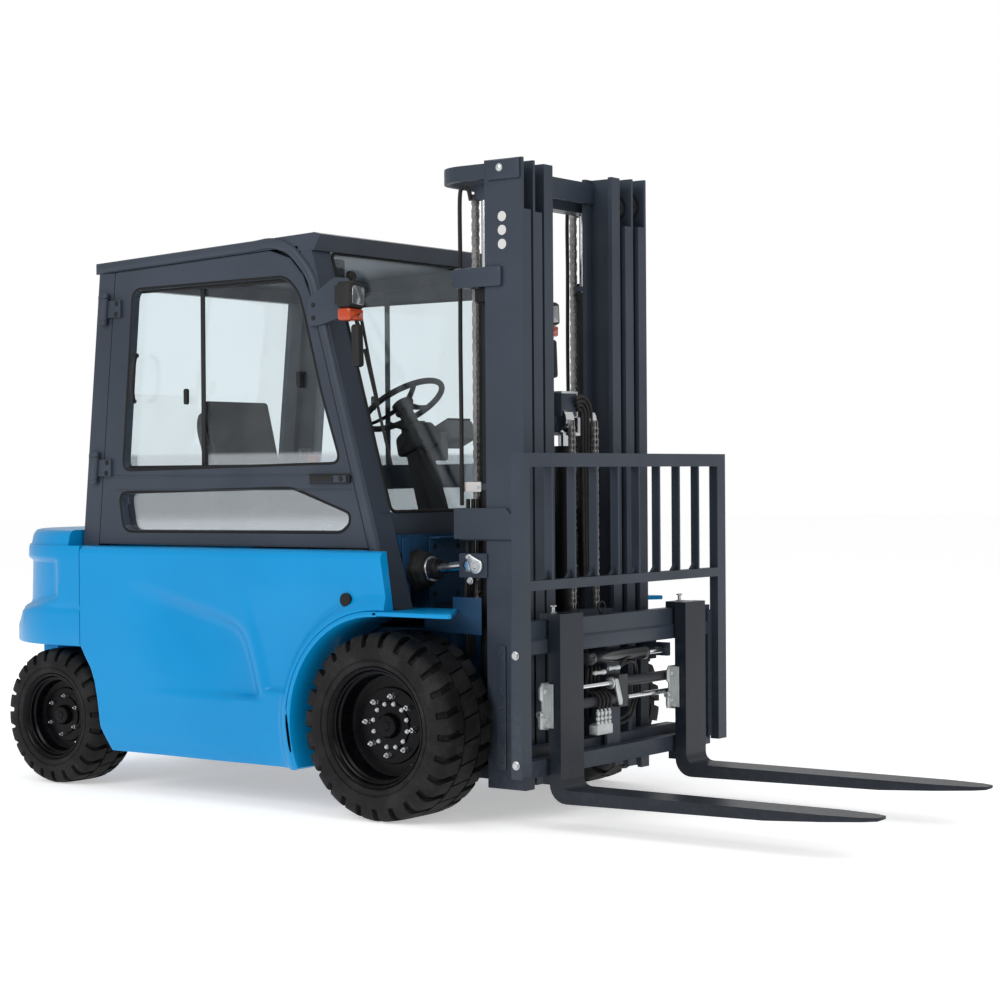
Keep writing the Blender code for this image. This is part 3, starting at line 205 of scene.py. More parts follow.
def tube(path: Array, radius: float | Array, sides: int = 12, up: Sequence[float] = (0.0, 0.0, 1.0)) -> Surface:
    """A round tube along a path: a circle of that radius swept along it.

    Args:
        path: (n, 3) points.
        radius: one radius, or one for each point of the path.
        sides: the faces round the tube.
        up: a direction that no stretch of the path runs along.

    Returns:
        The tube, closed at both ends.
    """
    radii = np.broadcast_to(np.asarray(radius, float), (len(path),))
    return sweep(np.asarray(path, float), radii[:, None, None] * circle(sides), up)


def straight(start: Sequence[float], end: Sequence[float], radius: float, sides: int = 16,
        edge: float = 0.002) -> Surface:
    """A round bar between two points, its ends rounded off by a quarter circle.

    Args:
        start: the middle of one end.
        end: the middle of the other end.
        radius: the bar's radius.
        sides: the faces round the bar.
        edge: the radius of the rounding.

    Returns:
        The bar.
    """
    first, last = np.asarray(start, float), np.asarray(end, float)
    length = float(np.linalg.norm(last - first))
    along = (last - first) / length
    edge = min(edge, radius * 0.45, length * 0.45)
    turn = np.linspace(0, math.pi / 2, 4)
    inset, spread = edge * (1 - np.sin(turn)), radius - edge + edge * np.cos(turn)
    steps = np.concatenate([inset[::-1], length - inset])
    radii = np.concatenate([spread[::-1], spread])
    reference = (0.0, 0.0, 1.0) if abs(along[2]) < 0.9 else (0.0, 1.0, 0.0)
    return tube(first + steps[:, None] * along, radii, sides, reference)


def lathe(profile: Points2, centre: Sequence[float], axis: str = "y", steps: int = 48) -> Surface:
    """Turns a profile about a line: point k at angle a lies at radius r_k, place s_k along the line.

    Args:
        profile: (radius, place along the axis) pairs; it starts and ends on the axis, or is a closed ring.
        centre: a point of the axis, from which the places are measured.
        axis: "x", "y" or "z".
        steps: the faces round the axis.

    Returns:
        The turned surface.
    """
    shape = np.asarray(profile, float)
    ring = bool((shape[:, 0] > 1e-6).all())
    if ring:
        shape = np.vstack([shape, shape[:1]])
    angle = np.linspace(0, TAU, steps, endpoint=False)
    first = shape[:, None, 0] * np.cos(angle)
    second = shape[:, None, 0] * np.sin(angle)
    along = np.broadcast_to(shape[:, None, 1], first.shape)
    order = {"x": (along, first, second), "y": (second, along, first), "z": (first, second, along)}[axis]
    return grid(np.stack(order, axis=-1) + np.asarray(centre, float), capped=False)


def rounded(points: Points2, radius: float, steps: int = 4) -> Array:
    """An outline with round corners: each corner becomes the curve (1 - t)^2 a + 2 t (1 - t) c + t^2 b.

    Args:
        points: the corners.
        radius: how far from a corner its curve starts; at most 0.45 of the shorter side is used.
        steps: the stretches in a corner.

    Returns:
        (n, 2) points.
    """
    corner = np.asarray(points, float)
    back, ahead = np.roll(corner, 1, 0) - corner, np.roll(corner, -1, 0) - corner
    long_back = np.linalg.norm(back, axis=1, keepdims=True)
    long_ahead = np.linalg.norm(ahead, axis=1, keepdims=True)
    reach = np.minimum(radius, 0.45 * np.minimum(long_back, long_ahead))
    start, end = corner + back / long_back * reach, corner + ahead / long_ahead * reach
    t = np.linspace(0, 1, steps + 1)[None, :, None]
    curve = start[:, None] * (1 - t) ** 2 + corner[:, None] * 2 * t * (1 - t) + end[:, None] * t**2
    return curve.reshape(-1, 2)


def oblong(left: float, right: float, low: float, high: float) -> list[tuple[float, float]]:
    """The corners of a rectangle."""
    return [(left, low), (right, low), (right, high), (left, high)]


def drawn_in(outline: Array, inset: float) -> Array:
    """The outline moved inwards along the bisector of its two neighbouring edge normals."""
    edge = np.roll(outline, -1, 0) - outline
    normal = np.stack([-edge[:, 1], edge[:, 0]], axis=-1)
    normal /= np.maximum(np.linalg.norm(normal, axis=1, keepdims=True), 1e-9)
    area = np.sum(outline[:, 0] * np.roll(outline[:, 1], -1) - np.roll(outline[:, 0], -1) * outline[:, 1])
    normal *= 1.0 if area > 0 else -1.0
    both = normal + np.roll(normal, 1, 0)
    likeness = np.sum(normal * np.roll(normal, 1, 0), axis=1, keepdims=True)
    return outline + both * inset / np.maximum(1.0 + likeness, 0.4)


def slab(outline: Points2 | Array, low: float, high: float, plane: str = "xz", edge: float = 0.003,
         corner: float = 0.0) -> Surface:
    """A plate with rounded rims: its outline carried along a quarter circle, across, and round again.

    Args:
        outline: the plate's outline in its plane.
        low: where it starts along the third axis.
        high: where it ends along the third axis.
        plane: "xz", "xy" or "yz".
        edge: the radius of the rims.
        corner: the radius of the outline's corners; 0 keeps them as they are.

    Returns:
        The plate.
    """
    flat = rounded(outline, corner) if corner else np.asarray(outline, float)
    edge = min(edge, (high - low) * 0.45)
    turn = np.linspace(0, math.pi / 2, 3)
    insets = np.concatenate([edge * (1 - np.sin(turn)), edge * (1 - np.sin(turn[::-1]))])
    places = np.concatenate([low + edge * (1 - np.cos(turn)), high - edge * (1 - np.cos(turn[::-1]))])
    rings = np.stack([drawn_in(flat, inset) for inset in insets])
    third = np.broadcast_to(places[:, None], rings.shape[:2])
    first, second = rings[..., 0], rings[..., 1]
    order = {"xz": (first, third, second), "xy": (first, second, third), "yz": (third, first, second)}[plane]
    return grid(np.stack(order, axis=-1))


def block(x: Sequence[float], y: Sequence[float], z: Sequence[float], edge: float = 0.003) -> Surface:
    """A box with softened edges, from a (low, high) pair for each axis."""
    (x0, x1), (y0, y1), (z0, z1) = sorted(x), sorted(y), sorted(z)
    corners = rounded(oblong(x0, x1, z0, z1), edge, 2)
    return slab(corners, y0, y1, "xz", edge)


def ring_of(part: Surface, count: int, centre: Sequence[float], axis: str = "Y", start: float = 0.0) -> Surface:
    """Copies of a part set evenly round a line through a centre."""
    return gather(part.turned(start + 360.0 * index / count, axis, centre) for index in range(count))


def bolt(at: Sequence[float], direction: str, size: float, height: float, sides: int = 6) -> Surface:
    """A bolt head on its washer, both turned about an axis; a sign on the axis letter turns it round.

    Args:
        at: the middle of the seat.
        direction: "x", "y" or "z", with "-" in front where the head points the other way.
        size: half the distance across the head's corners.
        height: the height of the head.
        sides: 6 for a hexagon; more for a round head.

    Returns:
        The head and the washer.
    """
    sign = -1.0 if direction.startswith("-") else 1.0
    axis = direction[-1]
    head = [(0, 0), (size, 0), (size, sign * height * 0.8), (size * 0.82, sign * height), (0, sign * height)]
    washer = [(0, -sign * 0.001), (size * 1.25, -sign * 0.001), (size * 1.25, sign * size * 0.12),
              (size * 1.15, sign * size * 0.2), (0, sign * size * 0.2)]
    return lathe(head, at, axis, sides) + lathe(washer, at, axis, 20)


# ------ shaders
class Value:
    """A socket that carries a number, so that shader sums read as sums."""

    def __init__(self, shader: Shader, socket: bpy.types.NodeSocket) -> None:
        """Wraps one output socket of a shader's tree."""
        self.shader = shader
        self.socket = socket

    def __add__(self, other: Value | float) -> Value:
        """Sum."""
        return self.shader.math("ADD", self, other)

    def __radd__(self, other: float) -> Value:
        """Sum with a number in front."""
        return self.shader.math("ADD", other, self)

    def __sub__(self, other: Value | float) -> Value:
        """Difference."""
        return self.shader.math("SUBTRACT", self, other)

    def __mul__(self, other: Value | float) -> Value:
        """Product."""
        return self.shader.math("MULTIPLY", self, other)

    def band(self, low: float, high: float) -> Value:
        """0 below low, 1 above high, and a smooth rise in between; low above high falls instead."""
        start, end, first, last = (low, high, 0.0, 1.0) if low < high else (high, low, 1.0, 0.0)
        settings = {"interpolation_type": "SMOOTHSTEP"}
        sockets = {0: self, 1: start, 2: end, 3: first, 4: last}
        return Value(self.shader, self.shader.node("ShaderNodeMapRange", settings, sockets).outputs[0])


Colour = tuple[float, float, float]


class Shader:
    """A node material under construction."""

    def __init__(self, name: str) -> None:
        """Starts a material that holds only its output node."""
        self.material = bpy.data.materials.new(name)
        self.material.use_nodes = True
        self.tree = self.material.node_tree
        self.tree.nodes.clear()
        self.place = self.node("ShaderNodeTexCoord", {}, {}).outputs["Object"]

    def node(self, kind: str, settings: dict[str, object], sockets: dict[int | str, object]) -> bpy.types.Node:
        """Adds one node.

        Args:
            kind: the node's type name.
            settings: attributes of the node, set first.
            sockets: input name or number, and the value or the link that it takes.

        Returns:
            The node.
        """
        made = self.tree.nodes.new(kind)
        for name, value in settings.items():
            setattr(made, name, value)
        for name, value in sockets.items():
            source = value.socket if isinstance(value, Value) else value
            if isinstance(source, bpy.types.NodeSocket):
                self.tree.links.new(source, made.inputs[name])
            else:
                made.inputs[name].default_value = source
        return made

    def math(self, operation: str, first: Value | float, second: Value | float) -> Value:
        """One Math node."""
        return Value(self, self.node("ShaderNodeMath", {"operation": operation}, {0: first, 1: second}).outputs[0])

    def mixed(self, share: Value, first: object, second: object) -> bpy.types.NodeSocket:
        """A colour between two: the first at 0, the second at 1."""
        ends = [(*end, 1.0) if isinstance(end, tuple) and len(end) == 3 else end for end in (first, second)]
        made = self.node("ShaderNodeMix", {"data_type": "RGBA"}, {0: share, 6: ends[0], 7: ends[1]})
        return made.outputs[2]

    def stretched(self, scale: Sequence[float]) -> bpy.types.NodeSocket:
        """The place on the piece, multiplied along X, Y and Z."""
        return self.node("ShaderNodeMapping", {}, {0: self.place, 3: tuple(scale)}).outputs[0]

    def noise(self, scale: float, detail: float = 3.0, rough: float = 0.55, place: object = None) -> Value:
        """Cloudy noise from 0 to 1, about 0.5."""
        sockets = {"Vector": place or self.place, "Scale": scale, "Detail": detail, "Roughness": rough}
        return Value(self, self.node("ShaderNodeTexNoise", {}, sockets).outputs[0])

    def height(self) -> Value:
        """The place's Z, in metres above the floor."""
        return Value(self, self.node("ShaderNodeSeparateXYZ", {}, {0: self.place}).outputs[2])

    def bump(self, relief: Value, strength: float, distance: float) -> bpy.types.NodeSocket:
        """A surface normal tilted by a relief."""
        sockets = {"Strength": strength, "Distance": distance, "Height": relief}
        return self.node("ShaderNodeBump", {}, sockets).outputs[0]

    def finish(self, surface: bpy.types.NodeSocket) -> bpy.types.Material:
        """Links the shader to the output and returns the material."""
        self.node("ShaderNodeOutputMaterial", {}, {"Surface": surface})
        return self.material

    def principled(self, sockets: dict[int | str, object]) -> bpy.types.Material:
        """Ends the material in one Principled shader."""
        whole = {k: (*v, 1.0) if isinstance(v, tuple) and len(v) == 3 else v for k, v in sockets.items()}
        return self.finish(self.node("ShaderNodeBsdfPrincipled", {}, whole).outputs[0])


class Grain(Enum):
    """The small relief of a surface, as noise scale, strength and depth in metres."""

    SMOOTH = (60.0, 0.05, 0.001)
    ORANGE_PEEL = (170.0, 0.1, 0.0006)
    POWDER = (900.0, 0.22, 0.0003)
    CAST = (240.0, 0.3, 0.0008)
    MOULDED = (1300.0, 0.3, 0.0003)


@dataclass(frozen=True)
class Coating:
    """Paint, plastic or bare metal: its colour, gloss, relief, and the dust and scuffs on it."""

    name: str
    colour: Colour
    shade: Colour
    roughness: float = 0.35
    metallic: float = 0.0
    coat: float = 0.0
    specular: float = 0.22
    grain: Grain = Grain.ORANGE_PEEL
    dust: float = 0.25
    dust_top: float = 0.9
    dust_colour: Colour = (0.22, 0.2, 0.18)
    scuffs: float = 0.0
    scuff_colour: Colour = (0.35, 0.36, 0.38)
    streak: tuple[float, float, float] = (3.0, 3.0, 40.0)

    def made(self) -> bpy.types.Material:
        """Builds the material.

        Colour is the coating's colour with cloudy shade; dust is cloud times nearness to the
        floor; scuffs are the sharp crests of a streaky noise. All three also change roughness.

        Returns:
            The material.
        """
        shader = Shader(self.name)
        cloud, fine = shader.noise(2.3), shader.noise(38.0, 4.0, 0.65)
        colour = shader.mixed(cloud.band(0.3, 0.75), self.colour, self.shade)
        dust = shader.height().band(self.dust_top, 0.0) * fine.band(0.38, 0.78) * self.dust
        colour = shader.mixed(dust, colour, self.dust_colour)
        rough = self.roughness + (fine - 0.5) * 0.12 + dust * 0.5
        if self.scuffs:
            worn = shader.noise(7.0, 6.0, 0.72, shader.stretched(self.streak)).band(0.64, 0.74) * self.scuffs
            colour = shader.mixed(worn, colour, self.scuff_colour)
            rough = rough + worn * 0.15
        scale, strength, depth = self.grain.value
        normal = shader.bump(shader.noise(scale, 2.0), strength, depth)
        return shader.principled({
            "Base Color": colour, "Roughness": rough, "Metallic": self.metallic, "Normal": normal,
            "Coat Weight": self.coat, "Coat Roughness": 0.08, "Specular IOR Level": self.specular})


@dataclass(frozen=True)
class Rubber:
    """Tyre rubber: dull, dusted grey in cloudy patches."""

    name: str
    colour: Colour = (0.0065, 0.006, 0.0062)
    dusty: Colour = (0.044, 0.044, 0.047)

    def made(self) -> bpy.types.Material:
        """Colour goes from rubber to dust with two noises, and fine pits make the relief."""
        shader = Shader(self.name)
        cloud, fine = shader.noise(7.0, 5.0, 0.7), shader.noise(120.0, 4.0, 0.7)
        dust = cloud.band(0.38, 0.72) * 0.45 + fine.band(0.5, 0.75) * 0.25
        colour = shader.mixed(dust, self.colour, self.dusty)
        normal = shader.bump(fine + cloud * 2.0, 0.35, 0.0012)
        sockets = {"Base Color": colour, "Roughness": 0.62 + dust * 0.3, "Normal": normal,
            "Specular IOR Level": 0.16}
        return shader.principled(sockets)


@dataclass(frozen=True)
class Glazing:
    """Safety glass: clear straight on, mirror-like at a flat angle, with a faint film of dust."""

    name: str
    tint: Colour = (0.93, 0.96, 0.97)
    film: float = 0.03
    low_film: float = 0.0
    low_top: float = 1.39

    def made(self) -> bpy.types.Material:
        """A see-through shader mixed with a mirror-like one.

        The mirror's share is 0.04 plus the fifth power of how flat the view is, plus a cloudy film,
        and a further share below the height of the low pane.

        Returns:
            The material.
        """
        shader = Shader(self.name)
        clear = shader.node("ShaderNodeBsdfTransparent", {}, {0: (*self.tint, 1.0)}).outputs[0]
        sockets = {"Base Color": (0.9, 0.95, 1.0, 1.0), "Metallic": 1.0, "Roughness": 0.04}
        gloss = shader.node("ShaderNodeBsdfPrincipled", {}, sockets).outputs[0]
        facing = Value(shader, shader.node("ShaderNodeLayerWeight", {}, {"Blend": 0.5}).outputs[1])
        mirror = shader.math("POWER", facing, 5.0) * 0.8
        share = mirror + shader.noise(5.0, 4.0, 0.6).band(0.35, 0.8) * self.film + 0.04
        share = share + shader.height().band(self.low_top, self.low_top - 0.02) * self.low_film
        return shader.finish(shader.node("ShaderNodeMixShader", {}, {0: share, 1: clear, 2: gloss}).outputs[0])


@dataclass(frozen=True)
class Cloth:
    """Woven seat cover: two crossed sets of threads, each a wave, with lint between."""

    name: str
    colour: Colour = (0.022, 0.022, 0.025)
    thread: Colour = (0.06, 0.06, 0.066)

    def made(self) -> bpy.types.Material:
        """Relief is the product of two waves at right angles; colour follows it."""
        shader = Shader(self.name)
        waves = []
        for direction in ("Y", "Z"):
            settings = {"bands_direction": direction, "wave_type": "BANDS"}
            sockets = {"Vector": shader.place, "Scale": 210.0, "Distortion": 0.6}
            waves.append(Value(shader, shader.node("ShaderNodeTexWave", settings, sockets).outputs[1]))
        weave = waves[0] * waves[1]
        cloud = shader.noise(14.0, 4.0, 0.6)
        colour = shader.mixed(weave * 0.7 + cloud.band(0.4, 0.8) * 0.3, self.colour, self.thread)
        normal = shader.bump(weave, 0.4, 0.0006)
        return shader.principled({"Base Color": colour, "Roughness": 0.9, "Normal": normal, "Sheen Weight": 0.25})


class Finishes:
    """Every material of the truck, made once and found by name."""

    def __init__(self) -> None:
        """Builds all the finishes."""
        blue, charcoal, black = (0.0, 0.25, 0.56), (0.04, 0.051, 0.07), (0.005, 0.005, 0.007)
        finishes = [
            Coating("body_blue", blue, (0.0, 0.232, 0.525), 0.3, coat=0.16, specular=0.15, dust=0.06,
                    dust_top=0.45),
            Coating("frame_navy", (0.008, 0.045, 0.105), (0.006, 0.032, 0.075), 0.45, dust=0.12, dust_top=1.3),
            Coating("cab_charcoal", charcoal, (0.03, 0.038, 0.053), 0.42, grain=Grain.POWDER, dust=0.04),
            Coating("mast_charcoal", (0.038, 0.049, 0.068), (0.028, 0.037, 0.052), 0.38, grain=Grain.POWDER,
                    dust=0.1, scuffs=0.12, scuff_colour=(0.08, 0.09, 0.11)),
            Coating("chassis_black", black, (0.008, 0.008, 0.01), 0.45, grain=Grain.CAST, dust=0.1, dust_top=1.2),
            Coating("rim_black", (0.002, 0.002, 0.003), (0.001, 0.001, 0.002), 0.28, specular=0.12, dust=0.04,
                    dust_colour=(0.1, 0.09, 0.08)),
            Coating("plastic_black", (0.013, 0.013, 0.014), (0.018, 0.018, 0.019), 0.55, grain=Grain.MOULDED),
            Coating("plastic_grey", (0.13, 0.135, 0.14), (0.1, 0.105, 0.11), 0.5, grain=Grain.MOULDED),
            Coating("gasket", (0.006, 0.006, 0.006), (0.01, 0.01, 0.01), 0.6, grain=Grain.MOULDED, dust=0.1),
            Coating("hose", (0.01, 0.01, 0.011), (0.018, 0.018, 0.018), 0.5, grain=Grain.MOULDED, dust=0.08,
                    dust_top=3.0),
            Coating("fork_steel", (0.01, 0.014, 0.021), (0.015, 0.02, 0.029), 0.3, grain=Grain.CAST, dust=0.04,
                    scuffs=0.45, scuff_colour=(0.07, 0.085, 0.105), streak=(0.6, 8.0, 8.0)),
            Coating("barrel_black", (0.01, 0.011, 0.014), (0.006, 0.007, 0.009), 0.22, coat=0.5,
                    grain=Grain.SMOOTH, dust=0.05),
            Coating("positioner_grey", (0.04, 0.042, 0.048), (0.028, 0.03, 0.035), 0.38, grain=Grain.CAST,
                    dust=0.05),
            Coating("bright_steel", (0.6, 0.61, 0.62), (0.45, 0.46, 0.48), 0.28, 1.0, grain=Grain.SMOOTH,
                    dust=0.15),
            Coating("chrome_rod", (0.82, 0.83, 0.85), (0.7, 0.72, 0.75), 0.12, 1.0, grain=Grain.SMOOTH, dust=0.05),
            Coating("zinc_plate", (0.62, 0.65, 0.65), (0.5, 0.53, 0.54), 0.38, 0.85, grain=Grain.CAST, dust=0.2),
            Coating("chain_steel", (0.48, 0.47, 0.46), (0.22, 0.22, 0.22), 0.36, 0.9, grain=Grain.CAST, dust=0.0),
            Coating("white_plate", (0.62, 0.61, 0.6), (0.52, 0.51, 0.5), 0.45, grain=Grain.SMOOTH, dust=0.05),
            Coating("signal_orange", (0.48, 0.06, 0.012), (0.36, 0.04, 0.01), 0.2, coat=0.6,
                    grain=Grain.SMOOTH, dust=0.0),
            Coating("signal_red", (0.45, 0.01, 0.01), (0.35, 0.01, 0.01), 0.2, coat=0.6, grain=Grain.SMOOTH,
                    dust=0.0),
            Coating("lamp_glass", (0.45, 0.47, 0.49), (0.2, 0.21, 0.22), 0.12, 0.7, coat=1.0,
                    grain=Grain.SMOOTH, dust=0.0),
            Rubber("tyre_rubber"),
            Glazing("clear_glass"),
            Glazing("door_glass", low_film=0.34),
            Cloth("seat_cloth"),
        ]
        self.materials = {finish.name: finish.made() for finish in finishes}

    def __getitem__(self, name: str) -> bpy.types.Material:
        """The material of that name."""
        return self.materials[name]


# ------ workshop
class Workshop:
    """Turns surfaces into pieces that ride on the frame, and dresses the frame's own nodes."""

    def __init__(self) -> None:
        """Finds the front axle's place in the frame."""
        low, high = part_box("right_front_tyre")
        self.axle_x = float(low[0] + high[0]) / 2
        self.finishes = Finishes()
        self.count = 0

    def piece(self, name: str, surface: Surface, finish: str, body: str = "chassis", replaces: Sequence[str] = (),
              sharp: float = 35.0) -> bpy.types.Object:
        """Puts a surface in the scene.

        Args:
            name: the piece's name.
            surface: its shape, from the front axle.
            finish: the name of its finish.
            body: the body that it rides on.
            replaces: the nodes that it stands for.
            sharp: edges that turn by more degrees than this stay sharp.

        Returns:
            The piece.
        """
        mesh = bpy.data.meshes.new(name)
        mesh.from_pydata((surface.points + np.array([self.axle_x, 0.0, 0.0])).tolist(), [], surface.faces)
        shape = bmesh.new()
        shape.from_mesh(mesh)
        bmesh.ops.remove_doubles(shape, verts=shape.verts, dist=1e-6)
        bmesh.ops.recalc_face_normals(shape, faces=shape.faces)
        shape.to_mesh(mesh)
        shape.free()
        mesh.shade_smooth()
        mesh.set_sharp_from_angle(angle=math.radians(sharp))
        mesh.materials.append(self.finishes[finish])
        piece = bpy.data.objects.new(name, mesh)
        bpy.context.scene.collection.objects.link(piece)
        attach(piece, body)
        if replaces:
            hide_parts(*replaces)
        self.count += 1
        LOG.info("piece %s: %d points, %s, on %s", name, len(mesh.vertices), finish, body)
        return piece

    def dress(self, finish: str, *nodes: str) -> None:
        """Gives nodes of the frame a finish."""
        for node in nodes:
            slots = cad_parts[node].data.materials
            slots.clear()
            slots.append(self.finishes[finish])
            LOG.info("node %s: %s", node, finish)


# ------ wheels
@dataclass
class Wheel:
    """One wheel: a lugged industrial tyre on a deep black rim with its nuts."""

    shop: Workshop
    name: str
    side: int
    axle_x: float
    radius: float
    width: float
    outer_y: float
    rim_r: float
    disc_y: float
    lugs: int
    nut_circle: float
    nuts: int
    bolt_circle: float = 0.0
    bolts: int = 0
    hub_r: float = 0.05
    groove: float = 0.021
    nodes: tuple[str, str] = ("", "")

    def section(self) -> Array:
        """The tyre's section, one row for each point round it.

        Returns:
            Rows of radius, distance from the centre plane, how far a shoulder notch moves the point in
            radius and in distance, how far a centre slot moves it in radius, and its share of the skew.
        """
        o, c, r, b, g = self.outer_y, self.outer_y - self.width / 2, self.radius, self.rim_r, self.groove
        half = self.width / 2
        lug, row = half * 0.36, half * 0.29
        still = [(b + 0.0015, o - 0.022), (b + 0.0165, o - 0.0215), (b + 0.0165, o - 0.009), (b + 0.02, o - 0.004),
                 (b + 0.026, o - 0.0015), (b + 0.036, o - 0.001), (b + 0.038, o - 0.004), (b + 0.043, o - 0.004),
                 (b + 0.045, o), (r - 0.062, o)]
        cut = [(r - 0.052, o - 0.001, 0, 0, 0, 1), (r - 0.05, o - 0.001, -0.001, -g * 0.5, 0, 1),
            (r - 0.026, o - 0.006, -g * 0.55, -g * 0.85, 0, 1), (r - 0.01, o - 0.017, -g, -g * 0.6, 0, 1),
            (r - 0.0025, o - 0.032, -g, 0, 0, 0.8), (r - 0.0008, c + half * 0.62, -g, 0, 0, 0.5),
            (r, c + lug, -g, 0, 0, 0.2), (r - g * 0.7, c + lug - 0.0008, -g * 0.3, 0, 0, 0.2),
            (r - g * 0.7, c + row + 0.0008, 0, 0, 0, 0.2), (r, c + row, 0, 0, -g * 0.6, 0.4),
            (r, c, 0, 0, -g * 0.6, 0)]
        near = np.vstack([np.pad(np.array(still), ((0, 0), (0, 4))), cut])
        far = near[-2::-1].copy()
        far[:, 1] = 2 * c - far[:, 1]
        far[:, 3] *= -1
        far[:, 5] *= -1
        return np.vstack([near, far])

    def tyre(self) -> Surface:
        """The tyre: its section carried round the axle, notched and slotted once in each pitch.

        A point at pitch share p of lug k sits at (k + p + 0.3 skew) / lugs of a turn. Between shares
        0.02 and 0.30 the shoulder notch moves it, and between 0.585 and 0.655 the centre slot does.

        Returns:
            The tyre as a closed ring.
        """
        shares = np.array([0.0, 0.02, 0.3, 0.32, 0.45, 0.57, 0.585, 0.655, 0.67, 0.84])
        notch = np.array([0, 1, 1, 0, 0, 0, 0, 0, 0, 0], float)
        slot = np.array([0, 0, 0, 0, 0, 0, 1, 1, 0, 0], float)
        place = (np.arange(self.lugs)[:, None] + shares[None]).reshape(-1)
        notch, slot = np.tile(notch, self.lugs)[:, None], np.tile(slot, self.lugs)[:, None]
        ring = self.section()
        radius = ring[None, :, 0] + notch * ring[None, :, 2] + slot * ring[None, :, 4]
        distance = ring[None, :, 1] + notch * ring[None, :, 3]
        angle = TAU * (place[:, None] + 0.3 * ring[None, :, 5]) / self.lugs
        points = np.stack([self.axle_x + radius * np.sin(angle), -distance,
            self.radius + radius * np.cos(angle)], axis=-1)
        return grid(points, loop_rows=True)

    def rim(self) -> Surface:
        """The rim: flange, lock ring, deep well, bolted disc and hub cap, turned about the axle."""
        o, b, d, h = self.outer_y, self.rim_r, self.disc_y, self.hub_r
        inner = o - self.width + 0.022
        profile = [(0, d + 0.044), (h * 0.35, d + 0.044), (h * 0.4, d + 0.041), (h * 0.86, d + 0.04),
            (h, d + 0.034), (h * 1.06, d + 0.017), (h * 1.9, d + 0.015), (h * 1.98, d + 0.009),
            (self.nut_circle + 0.03, d + 0.008), (self.nut_circle + 0.034, d), (b - 0.036, d),
            (b - 0.022, d + 0.004), (b - 0.016, d + 0.014), (b - 0.014, o - 0.052), (b - 0.006, o - 0.046),
            (b - 0.005, o - 0.034), (b - 0.009, o - 0.032), (b - 0.009, o - 0.029), (b - 0.003, o - 0.026),
            (b + 0.001, o - 0.016), (b + 0.008, o - 0.008), (b + 0.0135, o - 0.007), (b + 0.0155, o - 0.01),
            (b + 0.0155, o - 0.0205), (b + 0.0005, o - 0.0205), (b + 0.0005, inner), (b - 0.014, inner),
            (b - 0.018, d - 0.016), (0, d - 0.016)]
        return lathe([(radius, -place) for radius, place in profile], (self.axle_x, 0, self.radius), "y", 72)

    def nut(self, radius: float, face: float, size: float, long: float) -> Surface:
        """One wheel nut on its cone, with the end of its stud, above the axle at that radius."""
        at = (self.axle_x, -face, self.radius + radius)
        cone = lathe([(0, 0), (size * 1.15, 0), (size * 1.1, -0.004), (size * 0.9, -0.007), (0, -0.007)], at,
            "y", 20)
        body = lathe([(0, -0.006), (size, -0.006), (size, -long * 0.85), (size * 0.8, -long), (0, -long)], at,
            "y", 6)
        stud = lathe([(0, -long * 0.9), (size * 0.48, -long * 0.9), (size * 0.48, -long - 0.009),
                      (size * 0.36, -long - 0.011), (0, -long - 0.011)], at, "y", 14)
        return cone + body + stud

    def build(self) -> None:
        """Makes the tyre, the rim and the nuts."""
        shop, side, body, centre = self.shop, self.side, self.name, (self.axle_x, 0.0, self.radius)
        shop.piece(self.name + "_lugged_tyre", self.tyre().sided(side), "tyre_rubber", body, (self.nodes[0],), 38)
        shop.piece(self.name + "_deep_rim", self.rim().sided(side), "rim_black", body, (self.nodes[1],), 40)
        size = self.nut_circle * 0.112
        parts = [ring_of(self.nut(self.nut_circle, self.disc_y + 0.008, size, 0.02), self.nuts, centre, "Y", 5)]
        if self.bolts:
            head = bolt((self.axle_x, -self.disc_y - 0.016, self.radius + self.bolt_circle), "-y", 0.0072,
                0.006, 12)
            parts.append(ring_of(head, self.bolts, centre, "Y", 12))
        shop.piece(self.name + "_nuts", gather(parts).sided(side), "bright_steel", body)
        valve = straight((self.axle_x + 0.6 * self.rim_r, -self.disc_y - 0.01, self.radius - 0.62 * self.rim_r),
            (self.axle_x + 0.62 * self.rim_r, -self.disc_y - 0.055, self.radius - 0.64 * self.rim_r), 0.004, 10)
        shop.piece(self.name + "_valve", valve.sided(side), "bright_steel", body)


@dataclass
class Wheels:
    """The four wheels."""

    shop: Workshop
    wheelbase: float = 1.81

    def build(self) -> None:
        """Makes both drive wheels and both steered wheels."""
        for name, side in SIDES.items():
            nodes = (name + "_front_tyre", name + "_front_rim")
            Wheel(self.shop, name + "_front_wheel", side, 0.0, 0.353, 0.3, 0.735, 0.212, 0.617, 25, 0.112, 8,
                  0.083, 12, 0.046, nodes=nodes).build()
            nodes = (name + "_rear_tyre", name + "_rear_rim")
            Wheel(self.shop, name + "_rear_wheel", side, -self.wheelbase, 0.285, 0.24, 0.665, 0.165, 0.572, 23,
                  0.082, 6, hub_r=0.04, groove=0.018, nodes=nodes).build()


# ------ body
def rise(value: Array, low: float, high: float) -> Array:
    """0 below low, 1 above high, and 3 t squared - 2 t cubed in between; low above high falls instead."""
    t = np.clip((value - low) / (high - low), 0, 1)
    return t * t * (3 - 2 * t)


def resampled(points: Points2 | Array, count: int) -> Array:
    """The same line in count points, evenly spaced along it."""
    line = np.asarray(points, float)
    run = np.concatenate([[0], np.cumsum(np.linalg.norm(np.diff(line, axis=0), axis=1))])
    place = np.linspace(0, run[-1], count)
    return np.stack([np.interp(place, run, line[:, k]) for k in range(line.shape[1])], axis=-1)


